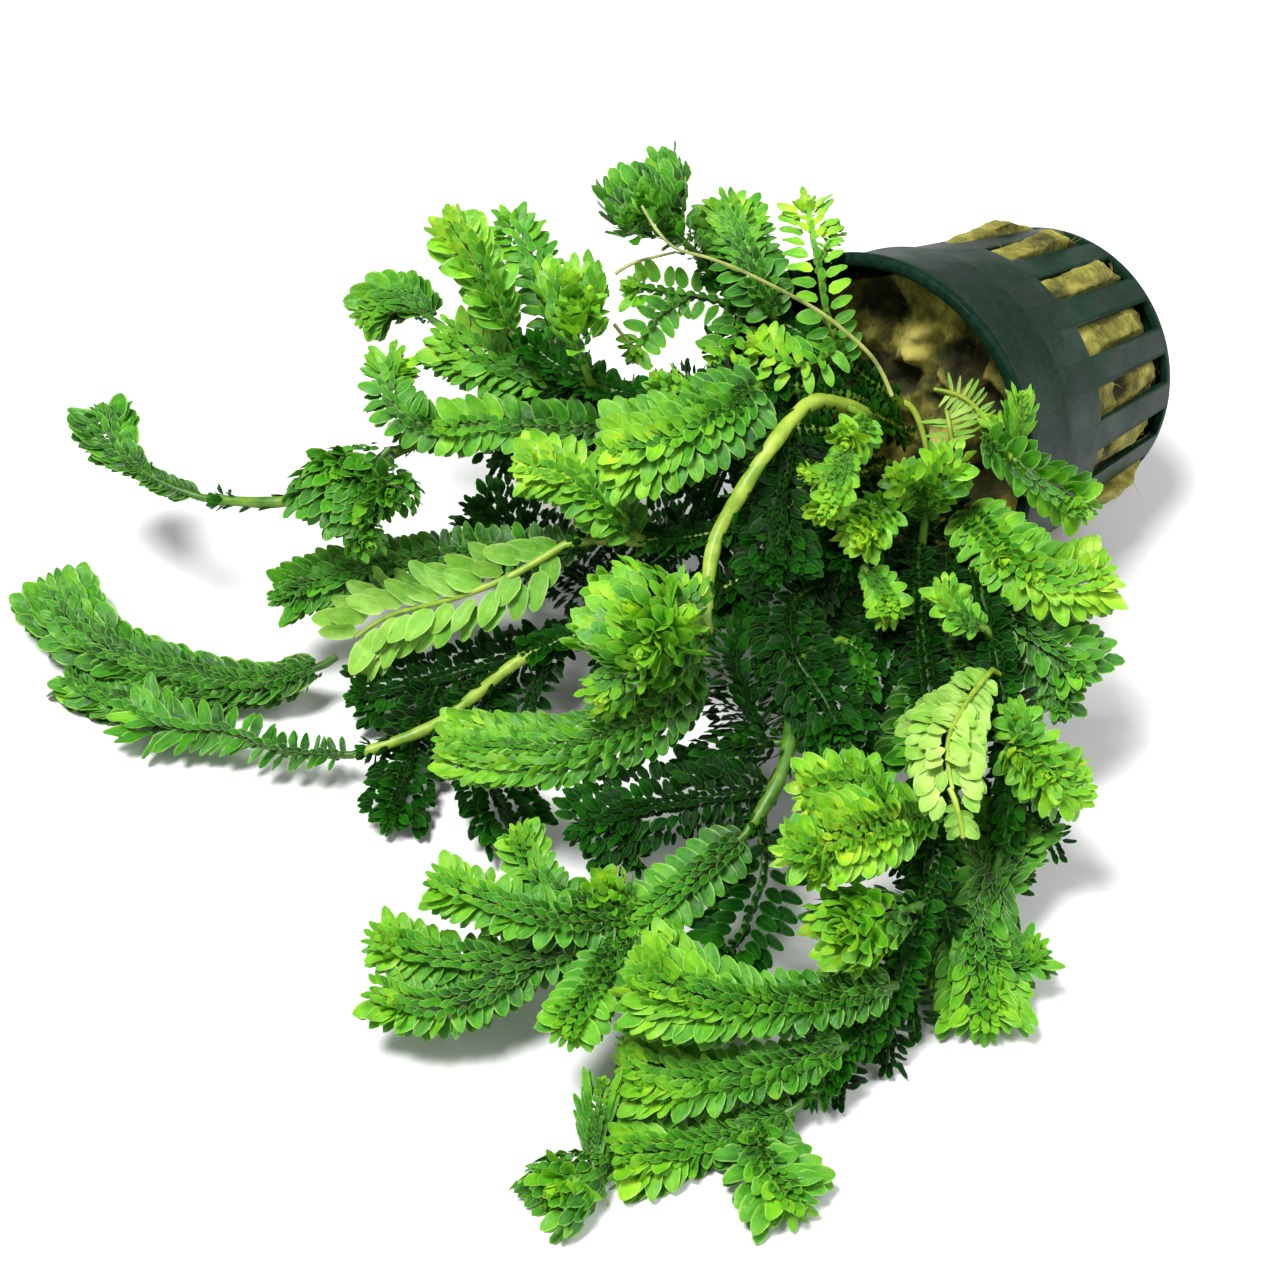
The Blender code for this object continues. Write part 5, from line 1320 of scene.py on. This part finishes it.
def rockwool():
    """The plug of mineral wool: uneven and threaded all round, torn and hollowed at its top."""
    place = pot_place()
    back = place.inverted()
    plug = fine_plug(back)
    mesh = plug.data
    skin = solid_of("rockwool")
    marks = [(back @ skin.ray_cast(EYE, sight_line(*spot))[0], reach, height)
             for spot, reach, height in WOOL_MARKS]
    moved = []
    painted_light_and_shade = []
    for here, normal in [(vertex.co.copy(), vertex.normal.copy()) for vertex in mesh.vertices]:
        relief = wool_relief(here)
        for spot, reach, height in marks:
            nearness = max(1 - (here - spot).length_squared / reach ** 2, 0)
            relief += height * nearness ** 2
        depth = 0
        if here.z > WOOL_TOP - 0.6 * MM:
            depth = torn_depth(here)
            here.z += max(min(depth, WOOL_TORN_RISE), -WOOL_TORN_DEPTH)
        here = place @ (here + normal * relief)
        moved.extend((here.x, here.y, max(here.z, TABLE_GAP)))
        # Painted light and shade for the finish: lighter where the skin stands out, darker in its
        # hollows and torn pits
        painted_light_and_shade.append(min(max(0.5 + (relief + depth * 0.5) / (2.2 * MM), 0), 1))
    mesh.vertices.foreach_set("co", moved)
    mesh.update()
    layer = mesh.attributes.new("height", "FLOAT", "POINT")
    layer.data.foreach_set("value", painted_light_and_shade)
    mesh.materials.clear()
    mesh.materials.append(FINISHES["wool"])
    mesh.shade_smooth()
    return plug


def wool_fibres(plug, seed):
    """Loose fibres that stand off the wool's skin."""
    foliage = Foliage(seed)
    random = foliage.random
    mesh = plug.data
    places = points_of(mesh)
    chosen = random.choice(len(places), FIBRE_COUNT, replace=False)
    turn = np.arange(3) * math.tau / 3
    share = np.linspace(0, 1, FIBRE_STEPS)[:, None]
    faces = fibre_faces()
    for index in chosen:
        normal = np.array(mesh.vertices[index].normal)
        way = unit(np.cross(normal, random.normal(0, 1, 3)))
        bend = random.normal(0, 0.5, 3)
        length = random.uniform(*FIBRE_LENGTHS)
        curve = places[index] + way * length * share + bend * length * 0.35 * share ** 2
        curve = curve + normal * (0.35 * MM * np.sin(share * math.pi) - 0.1 * MM)
        radius = random.uniform(*FIBRE_RADII)
        ring = tilted(unit(np.cross(way, normal)), normal, turn)
        points = (curve[:, None] + ring[None] * radius * (1.1 - share)[:, None]).reshape(-1, 3)
        points[:, 2] = np.maximum(points[:, 2], TABLE_GAP)
        even = np.ones(len(points))
        foliage.add(points, faces, 1, FIRST, even * random.random(), even * random.random(), even * 0,
                    np.zeros((len(points), 2)))
    return foliage.made("rockwool_fibres", "fibre")


def fibre_faces():
    """Faces of a three-sided thread with closed ends."""
    faces = [(2, 1, 0), tuple(3 * (FIBRE_STEPS - 1) + corner for corner in (0, 1, 2))]
    for step in range(FIBRE_STEPS - 1):
        for corner in range(3):
            after = (corner + 1) % 3
            faces.append((3 * step + corner, 3 * step + after,
                          3 * step + 3 + after, 3 * step + 3 + corner))
    return faces


# Finishes

def tone(red, green, blue):
    """A colour of the picture, 0 to 255, as light values with full cover."""
    light = [(value / 255) ** 2.2 for value in (red, green, blue)]
    return (*light, 1)


def feed(tree, socket, value):
    """Gives a socket a plain value, or links another socket to it."""
    if isinstance(value, (int, float, tuple)):
        socket.default_value = value
    else:
        tree.links.new(value, socket)


def dress(tree, made, **values):
    """Sets a node's properties and feeds its inputs, by name."""
    for name, value in values.items():
        if hasattr(made, name):
            setattr(made, name, value)
        else:
            feed(tree, made.inputs[name.replace("_", " ")], value)
    return made


def add_node(tree, kind, **values):
    """A node with the given properties and inputs."""
    return dress(tree, tree.nodes.new(kind), **values)


def new_finish(name):
    """An empty finish: its node tree and its shader."""
    made = bpy.data.materials.new(name)
    made.use_nodes = True
    return made, made.node_tree, made.node_tree.nodes["Principled BSDF"]


def mark(tree, name):
    """A value that every point of the mesh carries."""
    return add_node(tree, "ShaderNodeAttribute", attribute_name=name).outputs["Fac"]


def ramp(tree, place, *stops):
    """The colour of a ramp at a place between its stops."""
    made = add_node(tree, "ShaderNodeValToRGB", Fac=place)
    elements = made.color_ramp.elements
    while len(elements) < len(stops):
        elements.new(0.5)
    for element, (position, colour) in zip(elements, stops):
        element.position = position
        element.color = colour
    return made.outputs["Color"]


def smooth_step(tree, value, start, end, low, high):
    """A value that goes softly from low to high between a start and an end."""
    made = add_node(tree, "ShaderNodeMapRange", interpolation_type="SMOOTHSTEP", Value=value,
                    From_Min=start, From_Max=end, To_Min=low, To_Max=high)
    return made.outputs["Result"]


def mottle_group():
    """Soft uneven patches over a surface, from its own place."""
    group = bpy.data.node_groups.new("uneven patches", "ShaderNodeTree")
    for socket in ("Scale", "Low", "High"):
        group.interface.new_socket(socket, in_out="INPUT", socket_type="NodeSocketFloat")
    group.interface.new_socket("Amount", in_out="OUTPUT", socket_type="NodeSocketFloat")
    start = group.nodes.new("NodeGroupInput").outputs
    end = group.nodes.new("NodeGroupOutput")
    place = group.nodes.new("ShaderNodeTexCoord").outputs["Object"]
    patches = add_node(group, "ShaderNodeTexNoise", Vector=place, Scale=start["Scale"], Detail=4.0,
                       Roughness=0.6)
    spread = add_node(group, "ShaderNodeMapRange", Value=patches.outputs["Fac"], From_Min=0.3,
                      From_Max=0.7, To_Min=start["Low"], To_Max=start["High"])
    dress(group, end, Amount=spread.outputs["Result"])
    return group


def mottle(tree, scale, low, high):
    """The uneven patches, with their size and range."""
    made = add_node(tree, "ShaderNodeGroup", node_tree=GROUPS["mottle"])
    return dress(tree, made, Scale=scale, Low=low, High=high).outputs["Amount"]


def math_node(tree, operation, first, second, clamp=False):
    """A sum, product or the like of two values or sockets."""
    made = add_node(tree, "ShaderNodeMath", operation=operation, use_clamp=clamp)
    feed(tree, made.inputs[0], first)
    feed(tree, made.inputs[1], second)
    return made.outputs[0]


def mix_colour(tree, amount, first, second, blend_type="MIX"):
    """Two colours mixed by an amount."""
    made = add_node(tree, "ShaderNodeMix", data_type="RGBA", blend_type=blend_type)
    for index, value in ((0, amount), (6, first), (7, second)):
        feed(tree, made.inputs[index], value)
    return made.outputs[2]


def bump(tree, height, strength, distance):
    """The way a surface faces where a height dents it."""
    made = add_node(tree, "ShaderNodeBump", Strength=strength, Distance=distance, Height=height)
    return made.outputs["Normal"]


def leaf_finish(name, stops, rim_colour, rim_share, gloss):
    """A living leaf: colour by its age, a pale rim, a faint rib and fine veins."""
    made, tree, shader = new_finish(name)
    blade = add_node(tree, "ShaderNodeUVMap", uv_map="blade").outputs["UV"]
    across = add_node(tree, "ShaderNodeSeparateXYZ", Vector=blade).outputs["X"]
    aged = math_node(tree, "ADD", mark(tree, "age"), mottle(tree, 330, -0.13, 0.13), clamp=True)
    warmth = math_node(tree, "MULTIPLY", mark(tree, "tint"), 0.3)
    colour = mix_colour(tree, warmth, ramp(tree, aged, *stops), tone(140, 200, 40), "SOFT_LIGHT")
    rim = smooth_step(tree, mark(tree, "rim"), 0.74, 0.94, 0.0, rim_share)
    colour = mix_colour(tree, rim, colour, rim_colour, "SCREEN")
    middle = math_node(tree, "ABSOLUTE", math_node(tree, "SUBTRACT", across, 0.5), 0)
    rib = smooth_step(tree, middle, 0.0, 0.08, 0.10, 0.0)
    colour = mix_colour(tree, rib, colour, rim_colour, "SCREEN")
    veins = add_node(tree, "ShaderNodeTexWave", bands_direction="X", Vector=blade, Scale=5.0,
                     Distortion=2.5, Detail=2.0, Detail_Scale=2.0).outputs["Fac"]
    height = math_node(tree, "ADD", math_node(tree, "MULTIPLY", veins, 0.4),
                       mottle(tree, 1400, 0.0, 0.6))
    dress(tree, shader, Base_Color=colour, Roughness=mottle(tree, 900, 0.22, 0.46),
          Normal=bump(tree, height, 0.5, 0.18 * MM), Specular_IOR_Level=gloss,
          Subsurface_Weight=0.14, Subsurface_Radius=(0.45, 1, 0.1), Subsurface_Scale=0.7 * MM)
    return made


def stem_finish():
    """A fresh stem: pale olive to dark green by its age, in soft uneven patches."""
    made, tree, shader = new_finish("stem")
    aged = math_node(tree, "ADD", mark(tree, "age"), mottle(tree, 260, -0.22, 0.22), clamp=True)
    colour = ramp(tree, aged, (0, tone(26, 62, 14)), (0.35, tone(70, 116, 28)),
                  (0.7, tone(118, 154, 42)), (1, tone(168, 190, 70)))
    dress(tree, shader, Base_Color=colour, Roughness=0.42,
          Normal=bump(tree, mottle(tree, 1500, 0.0, 1.0), 0.3, 0.08 * MM),
          Subsurface_Weight=0.1, Subsurface_Radius=(0.5, 1, 0.2), Subsurface_Scale=0.5 * MM)
    return made


def root_finish():
    """A thin dry root."""
    made, tree, shader = new_finish("aerial root")
    colour = ramp(tree, mottle(tree, 220, 0.0, 1.0), (0, tone(104, 116, 50)),
                  (0.5, tone(148, 158, 80)), (1, tone(182, 190, 112)))
    dress(tree, shader, Base_Color=colour, Roughness=0.5,
          Normal=bump(tree, mottle(tree, 1800, 0.0, 1.0), 0.3, 0.05 * MM))
    return made


def pot_finish():
    """Moulded dark green plastic: a fine grain, faint scuffs and a dusty bloom."""
    made, tree, shader = new_finish("pot plastic")
    colour = ramp(tree, mottle(tree, 46, 0.1, 0.9), (0, tone(6, 26, 16)),
                  (0.55, tone(11, 37, 24)), (1, tone(24, 60, 40)))
    dusty = mix_colour(tree, mottle(tree, 900, 0.0, 0.06), colour, tone(100, 140, 124))
    dress(tree, shader, Base_Color=dusty, Roughness=mottle(tree, 110, 0.34, 0.52),
          Specular_IOR_Level=0.05,
          Normal=bump(tree, mottle(tree, 2600, 0.0, 1.0), 0.16, 0.06 * MM))
    return made


def wool_finish():
    """Golden brown mineral wool with fibrous streaks: painted shade darkens it where it is hollowed
    and torn open, and painted light brightens its tufts.
    """
    made, tree, shader = new_finish("mineral wool")
    place = tree.nodes.new("ShaderNodeTexCoord").outputs["Object"]
    drawn = add_node(tree, "ShaderNodeMapping", Vector=place, Scale=(1, 1, 0.3)).outputs["Vector"]
    streaks = add_node(tree, "ShaderNodeTexNoise", Vector=drawn, Scale=420.0, Detail=6.0,
                       Roughness=0.7, Distortion=1.6).outputs["Fac"]
    # The height mark is the painted light and shade; the streaks are the wool's own fibres
    shade = math_node(tree, "ADD", math_node(tree, "MULTIPLY", mark(tree, "height"), 0.75),
                      math_node(tree, "MULTIPLY", streaks, 0.55))
    shade = math_node(tree, "ADD", shade, mottle(tree, 260, -0.16, 0.16), clamp=True)
    colour = ramp(tree, shade, (0.15, tone(20, 22, 8)), (0.42, tone(66, 66, 24)),
                  (0.66, tone(128, 124, 48)), (0.95, tone(190, 180, 90)))
    dress(tree, shader, Base_Color=colour, Roughness=0.92,
          Normal=bump(tree, streaks, 0.7, 0.35 * MM))
    return made


def fibre_finish():
    """Single wool fibres, straw to brown."""
    made, tree, shader = new_finish("wool fibre")
    aged = math_node(tree, "ADD", mark(tree, "age"), mottle(tree, 500, -0.1, 0.1), clamp=True)
    colour = ramp(tree, aged, (0, tone(92, 76, 28)), (0.5, tone(150, 128, 54)),
                  (1, tone(206, 184, 104)))
    dress(tree, shader, Base_Color=colour, Roughness=0.7)
    return made


LEAF_AGES = (
    (0.0, tone(14, 48, 10)), (0.22, tone(34, 88, 18)), (0.45, tone(68, 142, 30)),
    (0.7, tone(122, 190, 38)), (1.0, tone(190, 230, 52)),
)
# Colours of the shade finish, darker than the other leaves: painted shade of the shoots deep in the
# plant
SHADE_AGES = (
    (0.0, tone(4, 22, 5)), (0.3, tone(13, 54, 10)), (0.6, tone(38, 102, 20)),
    (1.0, tone(100, 166, 46)),
)
PALE_AGES = (
    (0.0, tone(50, 108, 28)), (0.3, tone(90, 150, 48)), (0.6, tone(134, 188, 72)),
    (1.0, tone(192, 226, 118)),
)
GROUPS = {"mottle": mottle_group()}
FINISHES = {
    "leaf": leaf_finish("leaf", LEAF_AGES, tone(150, 214, 84), 0.46, 0.40),
    "shade leaf": leaf_finish("shade leaf", SHADE_AGES, tone(80, 150, 50), 0.24, 0.12),
    "pale leaf": leaf_finish("pale leaf", PALE_AGES, tone(180, 220, 120), 0.35, 0.24),
    "stem": stem_finish(),
    "root": root_finish(),
    "pot": pot_finish(),
    "wool": wool_finish(),
    "fibre": fibre_finish(),
}


# Stage

def camera():
    """The photograph's view from the eye, tipped down."""
    lens = bpy.data.cameras.new("camera")
    lens.sensor_width = SENSOR
    lens.lens = SENSOR / 2 / math.tan(EYE_FIELD / 2)
    lens.clip_start = 0.01
    lens.clip_end = 10
    holder = added("camera", lens)
    holder.location = EYE
    holder.rotation_euler = (math.pi / 2 - EYE_DIP, 0, 0)
    bpy.context.scene.camera = holder


def soft_light(name, place, size, power):
    """A large lamp that looks at the plant."""
    lamp = bpy.data.lights.new(name, "AREA")
    lamp.shape = "DISK"
    lamp.size = size
    lamp.energy = power
    holder = added(name, lamp)
    holder.location = place
    holder.rotation_euler = (-Vector(place)).to_track_quat("-Z", "Y").to_euler()


def studio():
    """A plain pale floor, an even pale sky and soft lamps."""
    select_only()
    bpy.ops.mesh.primitive_plane_add(size=6)
    floor = bpy.context.object
    floor.name = "floor"
    made, tree, shader = new_finish("floor")
    dress(tree, shader, Base_Color=(0.95, 0.95, 0.95, 1), Roughness=0.8, Specular_IOR_Level=0.1)
    floor.data.materials.append(made)
    world = bpy.data.worlds.new("sky")
    world.use_nodes = True
    sky = world.node_tree.nodes["Background"]
    sky.inputs["Color"].default_value = (1, 1, 1, 1)
    sky.inputs["Strength"].default_value = SKY
    bpy.context.scene.world = world
    for lamp in LAMPS:
        soft_light(*lamp)
    bpy.context.scene.view_settings.view_transform = "Standard"


# The whole plant

BROAD = Pattern(BLADE, 4)
SMALL = Pattern(SMALL_BLADE, 2)
camera()
studio()
net_pot()
plug = rockwool()
fibres = wool_fibres(plug, WOOL_SEED)
keep(plug, "rockwool_plug", "mineral_wool", "rockwool")
keep(fibres, "rockwool_fibres", "mineral_wool")
for number, (name, route, thick) in enumerate(STEMS):
    main_stem(name, route, thick, STEM_SEED + number)
for parts in STRANDS:
    strand(*parts)
for number, parts in enumerate(SHOOTS):
    shoot(SHOOT_SEED + number, *parts)
